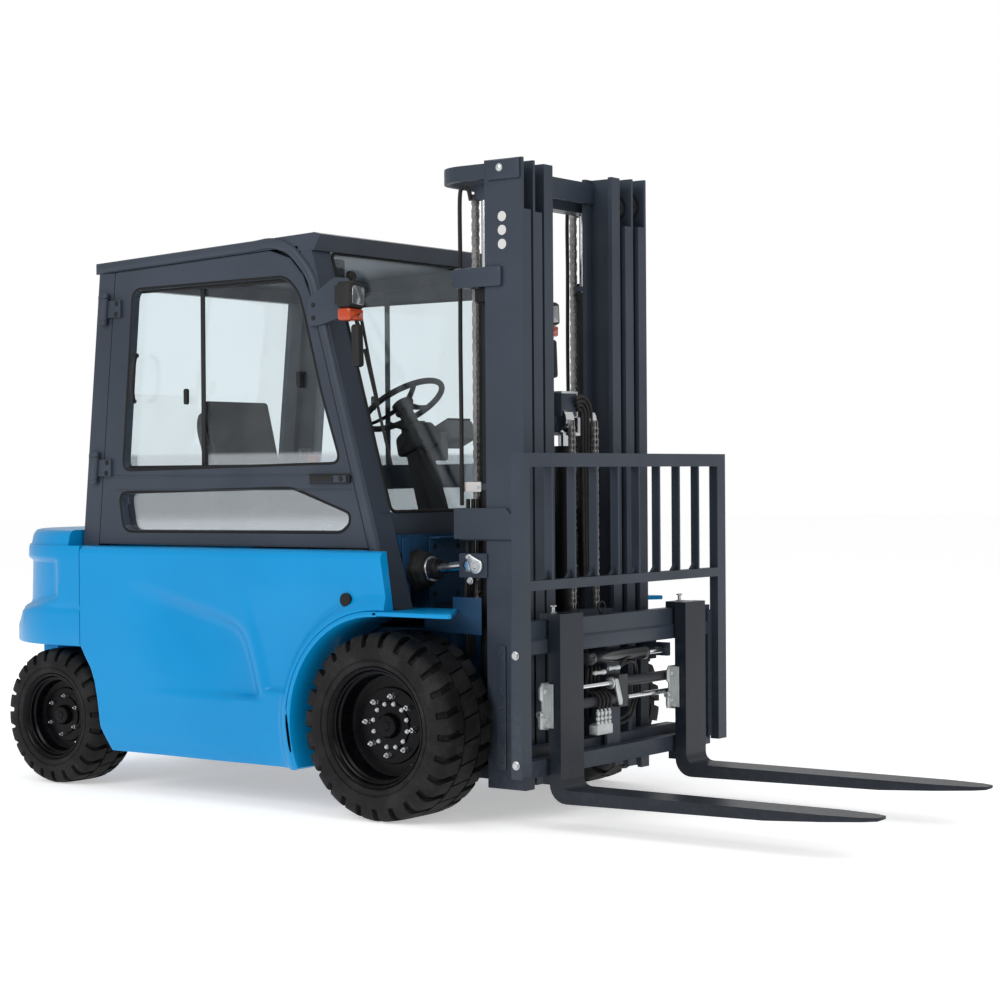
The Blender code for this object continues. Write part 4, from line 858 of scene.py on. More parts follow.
def arc(centre: Sequence[float], radius: float, start: float, end: float, steps: int) -> list[tuple[float, float]]:
    """Points on an arc, angles in degrees."""
    angles = np.radians(np.linspace(start, end, steps + 1))
    return list(zip((centre[0] + radius * np.cos(angles)).tolist(), (centre[1] + radius * np.sin(angles)).tolist()))


@dataclass
class SidePanel:
    """A pressed side panel with its wheel arch, flare, sill crease and moulded recess."""

    shop: Workshop
    skin_y: float = 0.705
    inner_y: float = 0.668
    flare: float = 0.029
    arch: tuple[float, float] = (0.0, 0.353)
    arch_r: float = 0.412
    lip: float = 0.022
    top_z: float = 1.008
    belly_z: float = 0.168
    crown: float = 0.028

    def relief(self, x: Array, z: Array) -> Array:
        """How far the skin stands out from its flat plane.

        The flare rises towards the arch as a smooth step of the distance from the wheel's centre. The
        sill leans in below a line that runs from the rear arch to the front one. The recess is a smooth
        step across the larger of two distances, above the diagonal and ahead of the upright, and fades
        away from their corner. Two slow waves stand for the pressing's unevenness.

        Args:
            x: places along the truck.
            z: heights.

        Returns:
            The outward offset at each place, in metres.
        """
        far = np.hypot(x - self.arch[0], z - self.arch[1])
        flare = self.flare * rise(far, self.arch_r + self.lip + 0.062, self.arch_r + self.lip + 0.004)
        flare *= rise(x, 0.06, -0.1) * 0.35 + 0.65
        sill_line = 0.272 - 0.038 * rise(x, -1.475, -0.64)
        sill = 0.03 * np.clip((sill_line - z) / 0.1, 0, 1) * rise(x, -0.41, -0.52)
        above = z - (0.845 + (x + 1.294) * -0.242)
        ahead = x - (-0.69 + (0.699 - z) * 0.27)
        soft = 0.034
        edge = soft * np.logaddexp(above / soft, ahead / soft)
        inside = rise(edge, 0.046, -0.03)
        fade = np.exp(-((edge / 0.24) ** 2)) * rise(x, -1.36, -0.95)
        recess = 0.034 * inside * fade * rise(z, 0.415, 0.447)
        front = 0.014 * rise(ahead, 0.052, 0.09) * rise(z, 0.455, 0.472) * rise(z, 0.9, 0.6)
        waves = 0.0011 * np.sin(5.1 * x + 2.0 * z) * np.sin(6.3 * z + 1.1 * x)
        waves += 0.0007 * np.sin(13.0 * x + 5.0 * z)
        return flare - sill - recess - front * (1 - flare / self.flare) + waves * rise(far, 0.45, 0.55)

    def outlines(self, rows: int) -> tuple[Array, Array]:
        """The lower and the upper edge of the skin, as matching points.

        Args:
            rows: the number of points on each.

        Returns:
            The lower edge and the upper edge, from the rear to the front.
        """
        outer = self.arch_r + self.lip
        start = 180 + math.degrees(math.asin((self.arch[1] - self.belly_z) / outer))
        rear = [(-1.588, 0.59), (-1.56, 0.545), (-1.531, 0.505), (-1.508, 0.448), (-1.492, 0.374), (-1.475, 0.252),
                (-1.449, 0.19), (-1.436, 0.168)]
        belly = [(-1.2, self.belly_z), (-outer * math.cos(math.radians(start - 180)), self.belly_z)]
        front = arc(self.arch, outer, start, 90, 40) + [(0.048, self.arch[1] + outer)]
        parts = [resampled(rear, rows // 5), resampled([rear[-1], *belly], rows * 2 // 5 + 1)[1:]]
        parts.append(resampled(front, rows - sum(map(len, parts)) + 1)[1:])
        lower = np.vstack(parts)
        share = np.interp(np.arange(rows), [0, len(parts[0]) + len(parts[1]) - 1, rows - 1], [-1.588, -0.52, 0.017])
        return lower, np.stack([share, np.full(rows, self.top_z)], axis=-1)

    def skin(self) -> Surface:
        """The skin: outer face by the relief, rolled over at the top, and closed by a flat inner face."""
        rows, columns = 190, 96
        lower, upper = self.outlines(rows)
        turn = np.linspace(0, math.pi / 2, 7)
        face = np.linspace(0, 1, columns)[None, :]
        x = lower[:, None, 0] * (1 - face) + upper[:, None, 0] * face
        z = lower[:, None, 1] * (1 - face) + (upper[:, None, 1] - self.crown) * face
        y = self.skin_y + self.relief(x, z)
        foot = np.minimum(1.0, face * 30)
        y = y - 0.004 * (1 - foot) ** 2
        roll_z = self.top_z - self.crown + self.crown * np.sin(turn[1:])[None] + np.zeros((rows, 1))
        roll_y = y[:, -1:] - self.crown * (1 - np.cos(turn[1:]))[None]
        roll_x = np.broadcast_to(upper[:, None, 0], roll_z.shape)
        back_x = np.stack([upper[:, 0], lower[:, 0]], axis=-1)
        back_z = np.stack([upper[:, 1], lower[:, 1]], axis=-1)
        back_y = np.full_like(back_x, self.inner_y)
        points = np.stack([np.hstack([x, roll_x, back_x]), -np.hstack([y, roll_y, back_y]),
                           np.hstack([z, roll_z, back_z])], axis=-1)
        return grid(points)

    def arch_plate(self) -> Surface:
        """The arch's thin plate, from under the sill over the wheel to the flat step ahead of it."""
        outer, inner = self.arch_r + self.lip - 0.0008, self.arch_r
        start = 180 + math.degrees(math.asin((self.arch[1] - self.belly_z) / outer))
        over = arc(self.arch, outer, start, 90, 30) + [(0.02, self.arch[1] + outer)]
        under = [(0.02, self.arch[1] + inner + 0.001), *arc(self.arch, inner, 90, start, 30)]
        top = self.arch[1] + outer
        step = [(0.0, -0.7335), (0.352, -0.7335), (0.36, -0.722), (0.172, -0.437), (0.0, -0.437)]
        return slab(over + under, -0.7335, -0.437, "xz", 0.005) + slab(step, top - 0.017, top, "xy", 0.004)

    def build(self) -> None:
        """Makes both panels with their plates, ledges and round plugs."""
        whole = self.skin() + self.arch_plate() + block((-1.588, -0.11), (-0.6675, -0.565), (0.972, 1.0078), 0.004)
        plug = lathe([(0, -0.7165), (0.018, -0.7165), (0.024, -0.7155), (0.026, -0.714), (0.026, -0.7), (0, -0.7)],
                     (-0.147, 0, 0.824), "y", 36)
        for name, side in SIDES.items():
            self.shop.piece(name + "_pressed_panel", whole.sided(side), "body_blue", "chassis",
                (name + "_side_panel",), 32)
            self.shop.piece(name + "_panel_plug", plug.sided(side), "gasket")


@dataclass
class Counterweight:
    """The cast counterweight: stacked plan outlines with round corners, lamp recesses, and a flat black plate of
    painted shade where the tow pocket opens.
    """

    shop: Workshop
    front_x: float = -1.592
    rear_x: float = -2.29
    half: float = 0.705
    corner: float = 0.53
    base_z: float = 0.59
    top_z: float = 1.072

    def plan(self, front: Array, rear: Array, half: Array) -> Array:
        """Plan outlines of several levels at once: a straight front, and a quarter circle at each rear corner.

        Args:
            front: front X of each level.
            rear: rear X of each level.
            half: half width of each level.

        Returns:
            Array of shape (levels, points, 2).
        """
        radius = (self.corner - (self.half - half))[:, None]
        side = np.linspace(0, 1, 14, endpoint=False)[None]
        turn = np.radians(np.linspace(90, 180, 40))[None]
        front, rear, half = front[:, None], rear[:, None], half[:, None]
        side_x = front + (rear + radius - front) * side
        x = np.hstack([side_x, rear + radius + radius * np.cos(turn)])
        y = np.hstack([np.broadcast_to(half, side_x.shape), half - radius + radius * np.sin(turn)])
        middle = np.linspace(1, 0, 8)[None, 1:-1]
        x = np.hstack([x, np.broadcast_to(rear, (len(rear), 6))])
        y = np.hstack([y, (half - radius) * middle])
        return np.stack([np.hstack([x, x[:, ::-1]]), np.hstack([y, -y[:, ::-1]])], axis=-1)

    def casting(self) -> Surface:
        """The casting: levels joined upwards, its corners pressed in where the lamps sit.

        The recess moves a point towards the centre by up to 20 mm: a smooth step of its place along the
        side times a smooth step of its height, whose lower rim slopes.

        Returns:
            The casting.
        """
        levels = np.array([(0.59, 0.01, 0.01, 0), (0.592, 0.004, 0.004, 0), (0.6, 0.0, 0.0, 0),
            (0.66, 0.002, 0, 0), (0.722, 0.006, 0, 0), (0.733, 0.01, 0.0005, 0), (0.742, 0.022, 0.003, 0),
            (0.752, 0.046, 0.003, 0), (0.76, 0.056, 0.001, 0), (0.772, 0.06, 0, 0),
            *[(z, 0.06 + (z - 0.772) * 0.04, 0, 0) for z in np.linspace(0.785, 0.965, 24)],
            (0.985, 0.069, 0.001, 0), (1.0, 0.071, 0.002, 0), (1.0079, 0.074, 0.004, 0),
            (1.0082, 0.08, 0.012, 1), (1.02, 0.083, 0.015, 1), (1.04, 0.087, 0.019, 1),
            (1.052, 0.091, 0.023, 1), (1.062, 0.098, 0.03, 1), (1.069, 0.107, 0.039, 1),
            (1.072, 0.12, 0.052, 1)])
        z, inset, narrow, raised = levels.T
        front = np.where(raised > 0.5, -1.669, self.front_x)
        outline = self.plan(front, self.rear_x + inset, self.half - narrow)
        x, y = outline[..., 0], outline[..., 1]
        height = np.broadcast_to(z[:, None], x.shape)
        reach = rise(x, -1.728, -1.748) * rise(np.abs(y), 0.32, 0.36)
        low_rim = 0.785 + 0.22 * (x + 1.74)
        depth = 0.02 * reach * rise(height, low_rim - 0.008, low_rim + 0.02) * rise(height, 0.955, 0.935)
        pull = np.stack([-x - 1.75, -y], axis=-1)
        pull[..., 0] = np.maximum(pull[..., 0], 0)
        pull /= np.maximum(np.linalg.norm(pull, axis=-1, keepdims=True), 1e-6)
        flat = outline + pull * depth[..., None]
        return grid(np.concatenate([flat, height[..., None]], axis=-1))

    def build(self) -> None:
        """Makes the casting, the tail block with a flat black plate of painted shade for its tow pocket, and the
        tail lamps.
        """
        tail_plan = arc((self.rear_x + self.corner, self.half - self.corner), self.corner - 0.014, 111, 180, 16)
        ring = [(x, y) for x, y in tail_plan if y <= 0.3]
        outline = [(-2.172, ring[0][1]), *ring, *[(x, -y) for x, y in reversed(ring)], (-2.172, -ring[0][1])]
        tail = slab(outline, 0.245, 0.6, "xy", 0.018)
        trunk = block((-1.74, -1.594), (-0.12, 0.12), (0.42, 0.5905), 0.006)
        self.shop.piece("counterweight_casting", self.casting() + tail + trunk, "body_blue", "chassis",
            ("counterweight",), 32)
        # The tow pocket is a flat black plate on the tail face, not a recess: its black is painted shade.
        pocket_shade_plate = slab(oblong(-0.075, 0.075, 0.36, 0.47), -2.2815, -2.27, "yz", 0.002, 0.012)
        self.shop.piece("tow_plate_painted_shade", pocket_shade_plate, "chassis_black")
        lens = slab(oblong(-0.052, 0.052, -0.06, 0.06), -0.01, 0.01, "yz", 0.005, 0.016)
        for name, side in SIDES.items():
            placed = lens.turned(-9, "Z").moved(-2.186, -0.33, 0.868)
            self.shop.piece(name + "_tail_lamp", placed.sided(side), "signal_red")


# ------ cab
FASCIA = 2.16


@dataclass
class CabPlanes:
    """The cab's leaning planes, shared by everything that lies on them."""

    side_y: float = 0.62
    screen: tuple[float, float, float] = (0.018, 0.78, -0.289)
    rear: tuple[float, float, float] = (-1.652, 1.008, 0.0985)
    roof: tuple[float, float, float] = (-0.335, 2.229, 0.0416)

    def screen_x(self, z: float) -> float:
        """The screen's plane at a height."""
        return self.screen[0] + self.screen[2] * (z - self.screen[1])

    def rear_x(self, z: float) -> float:
        """The cab's rear face at a height."""
        return self.rear[0] + self.rear[2] * (z - self.rear[1])

    def roof_z(self, x: float | Array) -> float | Array:
        """The roof's upper face at a place along the truck."""
        return self.roof[1] + self.roof[2] * (x - self.roof[0])


def on_side(points: Points2, y: float) -> Array:
    """Points of an XZ outline as points in space at one Y."""
    flat = np.asarray(points, float)
    return np.stack([flat[:, 0], np.full(len(flat), y), flat[:, 1]], axis=-1)


def beading(points: Points2, y: float, wide: float, high: float, steps: int = 6) -> Surface:
    """A rubber profile laid round an opening: a low dome swept along its rounded outline.

    Args:
        points: the opening's corners in XZ.
        y: the face that it lies on.
        wide: the profile's width.
        high: how far it stands out, towards -Y.
        steps: stretches in each corner.

    Returns:
        The closed ring.
    """
    path = on_side(rounded(points, 0.045, steps), y)
    turn = np.linspace(0, math.pi, 7)
    dome = np.stack([wide / 2 * np.cos(turn), high * np.sin(turn)], axis=-1)
    dome = np.vstack([dome, [[-wide / 2, -0.002], [wide / 2, -0.002]]])
    return sweep(path, dome, OUTWARD, closed=True)


@dataclass
class CabShell:
    """What is fitted to the cab's frame and roof: drip tube, seams, lamps, mirror and wiper."""

    shop: Workshop
    planes: CabPlanes = field(default_factory=CabPlanes)

    def drip_tube(self) -> Surface:
        """The raised round moulding that runs over the door and down the front pillar."""
        p = self.planes
        knots = [(x, p.roof_z(x) - 0.021) for x in (-1.548, -1.1, -0.8, -0.68)]
        knots += [(-0.585, 2.1985), (-0.497, 2.172), (-0.434, 2.119), (-0.388, 2.06), (-0.36, 1.99)]
        lower = [(p.screen_x(z) - 0.029, z) for z in (1.8, 1.5, 1.2, 0.95, 0.795)]
        path = smooth_path([(x, -p.side_y + 0.001, z) for x, z in knots + lower], 6)
        return sweep(path, circle(16, 0.0215, 0.014), OUTWARD)

    def roof_panel(self) -> Surface:
        """The roof plate's raised middle: a thin closed sheet that rises over 50 mm at either end."""
        x, y = np.meshgrid(np.linspace(-1.5, -0.42, 40), np.linspace(-0.555, 0.555, 60), indexing="ij")
        lift = 0.01 * np.minimum(1, (x + 1.5) / 0.05) * np.minimum(1, (-0.42 - x) / 0.05)
        plane = self.planes.roof_z(x)
        top = np.stack([x, y, plane + lift * rise(np.abs(y), 0.555, 0.52) + 0.0012], axis=-1)
        under = np.stack([x, y, plane - 0.006], axis=-1)
        return grid(np.concatenate([top, under[:, ::-1]], axis=1))

    def lamp(self) -> tuple[Surface, Surface, Surface, Surface]:
        """The work lamp on its curved arm: housing, lens, signal and arm."""
        z = 1.965
        x = self.planes.screen_x(z) + 0.095
        y0, y1 = -0.698, -0.602
        shell = slab([(y0, z - 0.04), (y1, z - 0.046), (y1 + 0.004, z + 0.05), (y0 + 0.006, z + 0.06)],
                     x + 0.03, x + 0.098, "yz", 0.01, 0.018)
        fins = gather(block((x + 0.02, x + 0.034), (y0 + 0.01 + 0.012 * k, y0 + 0.015 + 0.012 * k),
            (z - 0.03, z + 0.045), 0.001) for k in range(6))
        bezel = slab([(y0 + 0.004, z - 0.036), (y1 - 0.004, z - 0.041), (y1, z + 0.045), (y0 + 0.01, z + 0.054)],
                     x + 0.094, x + 0.103, "yz", 0.003, 0.016)
        lens = slab([(y0 + 0.013, z - 0.028), (y1 - 0.012, z - 0.032), (y1 - 0.009, z + 0.036),
            (y0 + 0.018, z + 0.044)], x + 0.0995, x + 0.1045, "yz", 0.002, 0.012)
        signal = slab([(y0 + 0.006, z - 0.09), (y1 - 0.006, z - 0.09), (y1 - 0.004, z - 0.044),
            (y0 + 0.004, z - 0.042)], x + 0.034, x + 0.099, "yz", 0.012, 0.012)
        plate = [(x - 0.155, z - 0.1), (x - 0.1, z - 0.1), (x + 0.05, z - 0.066), (x + 0.05, z + 0.072),
                 (x - 0.02, z + 0.084), (x - 0.1, z + 0.04), (x - 0.155, z + 0.01)]
        arm = slab(plate, -0.644, -0.6205, "xz", 0.008, 0.018)
        screws = gather(bolt((x - 0.125, -0.643, z + dz), "-y", 0.008, 0.005, 16) for dz in (-0.07, -0.02))
        return shell + fins + bezel + screws, lens, signal, arm

    def mirror(self) -> Surface:
        """The mirror stub below the lamp: an oblong box on a short bent rod."""
        x = self.planes.screen_x(1.785) + 0.15
        body = slab([(x - 0.028, 1.7), (x + 0.01, 1.7), (x + 0.004, 1.862), (x - 0.034, 1.862)],
                    -0.662, -0.6265, "xz", 0.01, 0.014)
        link = tube(smooth_path([(x - 0.012, -0.636, 1.85), (x - 0.02, -0.64, 1.88), (x - 0.012, -0.64, 1.905)], 5),
                    0.008, 12, (0, 1, 0))
        return body + link

    def wiper(self) -> tuple[Surface, Surface]:
        """The screen wiper: motor box at the top edge, arm, and blade lying on the glass."""
        p = self.planes
        lean = np.array([p.screen[2], 0.0, 1.0])
        lean /= np.linalg.norm(lean)
        out = np.array([lean[2], 0.0, -lean[0]])

        def spot(y: float, z: float, lift: float) -> Array:
            """A point that far off the glass."""
            return np.array([p.screen_x(z), y, z]) + out * lift

        pivot = (-0.43, 2.07)
        arm = tube(np.array([spot(*pivot, 0.018), spot(-0.437, 1.92, 0.02), spot(-0.442, 1.72, 0.014),
            spot(-0.444, 1.56, 0.012)]), np.array([0.009, 0.007, 0.005, 0.004]), 8, (0, 1, 0))
        blade = tube(np.array([spot(-0.444, z, 0.005) for z in np.linspace(1.78, 1.33, 12)]), 0.006, 8, (0, 1, 0))
        cap = lathe([(0, 0.0), (0.02, 0.002), (0.02, 0.02), (0.014, 0.028), (0, 0.028)],
                    (p.screen_x(pivot[1]), pivot[0], pivot[1]), "x", 24)
        motor = block((p.screen_x(2.1) - 0.085, p.screen_x(2.1) - 0.03), (-0.5, -0.4), (2.055, 2.14), 0.012)
        return arm + blade + cap, motor

    def gaskets(self) -> Surface:
        """Rubber round the windscreen, swept along its edges, and the two seams of the header."""
        p = self.planes
        corners = oblong(-0.506, 0.506, 1.152, 2.156)
        outline = rounded(corners, 0.03, 5)
        path = np.stack([np.array([p.screen_x(float(z)) for z in outline[:, 1]]) + 0.001, outline[:, 0],
            outline[:, 1]], axis=-1)
        ring = sweep(path, circle(8, 0.007, 0.005), (1.0, 0.0, 0.29), closed=True)
        seams = gather(block((p.screen_x(FASCIA) - 0.058, p.screen_x(FASCIA) + 0.0135),
            (y - 0.0015, y + 0.0015), (2.163, 2.226), 0.0005) for y in (-0.5905, 0.5905))
        return ring + seams

    def build(self) -> None:
        """Fits the shell's pieces and dresses the frame and the roof."""
        shop = self.shop
        shop.dress("cab_charcoal", "cab_frame", "cab_roof")
        shop.dress("clear_glass", "windscreen", "rear_window")
        shop.piece("roof_pressing", self.roof_panel(), "cab_charcoal")
        shop.piece("screen_gasket", self.gaskets(), "gasket")
        arm, motor = self.wiper()
        shop.piece("screen_wiper", arm, "plastic_black")
        shop.piece("wiper_motor", motor, "plastic_black")
        shell, lens, signal, bracket = self.lamp()
        for name, side in SIDES.items():
            shop.piece(name + "_pillar_moulding", self.drip_tube().sided(side), "cab_charcoal")
            shop.piece(name + "_work_lamp", shell.sided(side), "plastic_black", "chassis", (name + "_headlamp",))
            shop.piece(name + "_lamp_lens", lens.sided(side), "lamp_glass")
            shop.piece(name + "_turn_signal", signal.sided(side), "signal_orange")
            shop.piece(name + "_lamp_bracket", bracket.sided(side), "cab_charcoal")
            shop.piece(name + "_mirror_stub", self.mirror().sided(side), "plastic_black")


@dataclass
class Door:
    """A door leaf's fittings: seals, sliding panes, rails, handle, hinges and pull."""

    shop: Workshop
    name: str
    side: int
    planes: CabPlanes = field(default_factory=CabPlanes)

    def outline(self, inset: float) -> list[tuple[float, float]]:
        """The leaf's edge, drawn in a little."""
        p = self.planes
        front = [(p.screen_x(z) - 0.06 - inset, z) for z in (1.02 + inset, 1.5, 1.985)]
        top = [(-0.428 - inset, 2.062 - inset), (-0.494, 2.13 - inset), (-0.6, 2.168 - inset)]
        rear = [(p.rear_x(2.13) + 0.094 + inset, p.roof_z(-1.45) - 0.05 - inset),
            (p.rear_x(1.016) + 0.094 + inset, 1.02 + inset)]
        return front + top + rear

    def build(self) -> None:
        """Fits the leaf's pieces."""
        shop, side, body = self.shop, self.side, self.name + "_door_leaf"
        face = -self.planes.side_y
        shop.dress("cab_charcoal", self.name + "_door")
        shop.dress("door_glass", self.name + "_door_glass")
        upper = [(-1.416, 1.319), (-0.243, 1.34), (-0.336, 1.61), (-0.425, 1.935), (-0.449, 2.003),
            (-0.513, 2.066), (-1.349, 2.061)]
        lower = [(-1.413, 1.068), (-0.24, 1.074), (-0.199, 1.106), (-0.199, 1.148), (-0.488, 1.246), (-1.44, 1.228)]
        seals = beading(upper, face, 0.01, 0.003) + beading(lower, face, 0.01, 0.003)
        shop.piece(self.name + "_window_seals", seals.sided(side), "gasket", body)
        edge = rounded(self.outline(0.0), 0.012, 3)
        ring = on_side(edge, face + 0.004)
        seal = sweep(ring, circle(8, 0.0042)[:, ::-1], OUTWARD, closed=True)
        shop.piece(self.name + "_door_seal", seal.sided(side), "gasket", body)
        glass_y = face + 0.036
        divider = block((-0.993, -0.975), (glass_y - 0.009, glass_y - 0.001), (1.322, 2.066), 0.002)
        second = block((-1.0, -0.993), (glass_y - 0.004, glass_y - 0.001), (1.322, 2.066), 0.001)
        track = block((-1.4, -0.262), (glass_y - 0.016, glass_y - 0.001), (1.324, 1.338), 0.002)
        channel = block((-1.335, -0.52), (glass_y - 0.014, glass_y - 0.001), (2.045, 2.06), 0.002)
        latches = gather(slab(oblong(x - 0.01, x + 0.01, z - 0.032, z + 0.032), glass_y - 0.02, glass_y - 0.003,
            "xz", 0.004, 0.009) for x, z in ((-1.075, 1.615), (-0.47, 1.665)))
        shop.piece(self.name + "_sliding_frames", (divider + second + track + channel).sided(side),
            "plastic_black", body)
        shop.piece(self.name + "_pane_latches", latches.sided(side), "plastic_black", body)
        rails = block((-1.47, -0.175), (face - 0.003, face + 0.002), (1.292, 1.297), 0.001)
        rails += block((-1.452, -0.19), (face - 0.003, face + 0.002), (1.236, 1.24), 0.001)
        shop.piece(self.name + "_waist_seams", rails.sided(side), "cab_charcoal", body)
        pad = slab(oblong(-0.4, -0.19, 1.262, 1.298), face - 0.012, face + 0.001, "xz", 0.004, 0.01)
        grip = slab(oblong(-0.382, -0.262, 1.268, 1.292), face - 0.027, face - 0.01, "xz", 0.006, 0.008)
        lock = lathe([(0, -0.0245), (0.01, -0.0245), (0.012, -0.021), (0.012, -0.01), (0, -0.01)],
            (-0.225, face, 1.28), "y", 24)
        shop.piece(self.name + "_door_handle", (pad + grip + lock).sided(side), "plastic_black", body)
        slope = self.planes.rear[2]
        pull_x = self.planes.rear_x(1.7) + 0.262
        knots = [(pull_x - 0.026, face + 0.002, 1.602), (pull_x - 0.01, face - 0.022, 1.612),
            (pull_x - 0.002, face - 0.034, 1.65), (pull_x + 0.002, face - 0.036, 1.695),
            (pull_x + 0.006, face - 0.034, 1.74), (pull_x + 0.003, face - 0.022, 1.778),
            (pull_x - 0.01, face + 0.002, 1.79)]
        pull = tube(smooth_path(knots, 5), 0.01, 12, (1.0, 0.0, 0.0))
        shop.piece(self.name + "_door_pull", pull.sided(side), "plastic_black", body)
        knuckle = [(0, -0.009), (0.0118, -0.009), (0.0125, -0.007), (0.0125, 0.007), (0.0118, 0.009), (0, 0.009)]
        bolts, fixed = [], []
        for z in (1.33, 1.985):
            x = self.planes.rear_x(z) + 0.06
            bolts += [bolt((x + 0.06 + slope * dz, face - 0.0115, z + dz), "-y", 0.0085, 0.006)
                for dz in (-0.022, 0.022)]
            fixed += [lathe(knuckle, (x + slope * dz, face - 0.016, z + dz), "z", 20) for dz in (-0.056, 0.056)]
            fixed.append(slab(oblong(x - 0.052, x - 0.01, z - 0.062, z + 0.062),
                              face - 0.0055, face + 0.001, "xz", 0.002, 0.008))
            fixed += [block((x - 0.03, x + 0.002), (face - 0.024, face - 0.004),
                (z + dz - 0.007, z + dz + 0.007), 0.002) for dz in (-0.056, 0.056)]
        shop.piece(self.name + "_hinge_bolts", gather(bolts).sided(side), "plastic_black", body)
        shop.piece(self.name + "_hinge_brackets", gather(fixed).sided(side), "cab_charcoal")


def swelled(name: str, source: bpy.types.Object, voxel: float, pressure: float, cap: float) -> bpy.types.Mesh:
    """Lets a cushion swell as stuffed cloth, and returns its mesh.

    The source is remeshed into even cells, blown up from inside for twenty steps with no gravity,
    and each point then goes at most the cap from where it began.

    Args:
        name: the new mesh's name.
        source: the object that gives the start shape; it is left as it is.
        voxel: the cell size.
        pressure: the pressure inside.
        cap: the furthest that a point may move.

    Returns:
        The swelled mesh.
    """
    scene = bpy.context.scene
    graph = bpy.context.evaluated_depsgraph_get()
    start = bpy.data.objects.new(name + "_start", bpy.data.meshes.new_from_object(source.evaluated_get(graph)))
    scene.collection.objects.link(start)
    remesh = start.modifiers.new("cells", "REMESH")
    remesh.mode, remesh.voxel_size, remesh.use_smooth_shade = "VOXEL", voxel, True
    bpy.context.view_layer.update()
    cells = bpy.data.meshes.new_from_object(start.evaluated_get(bpy.context.evaluated_depsgraph_get()))
    start.modifiers.clear()
    start.data = cells
    before = np.empty(len(cells.vertices) * 3)
    cells.vertices.foreach_get("co", before)
    cloth = start.modifiers.new("cloth", "CLOTH")
    cloth.settings.use_pressure = True
    cloth.settings.uniform_pressure_force = pressure
    cloth.settings.quality = 4
    cloth.settings.effector_weights.gravity = 0.0
    cloth.point_cache.frame_start, cloth.point_cache.frame_end = 1, 20
    for step in range(1, 21):
        scene.frame_set(step)
    moved = bpy.data.meshes.new_from_object(start.evaluated_get(bpy.context.evaluated_depsgraph_get()))
    after = np.empty_like(before)
    moved.vertices.foreach_get("co", after)
    scene.frame_set(1)
    shift = (after - before).reshape(-1, 3)
    far = np.linalg.norm(shift, axis=1, keepdims=True)
    shift *= np.minimum(1.0, cap / np.maximum(far, 1e-9))
    cells.vertices.foreach_set("co", (before.reshape(-1, 3) + shift).reshape(-1))
    result = start.data
    bpy.data.objects.remove(start, do_unlink=True)
    result.name = name
    return result


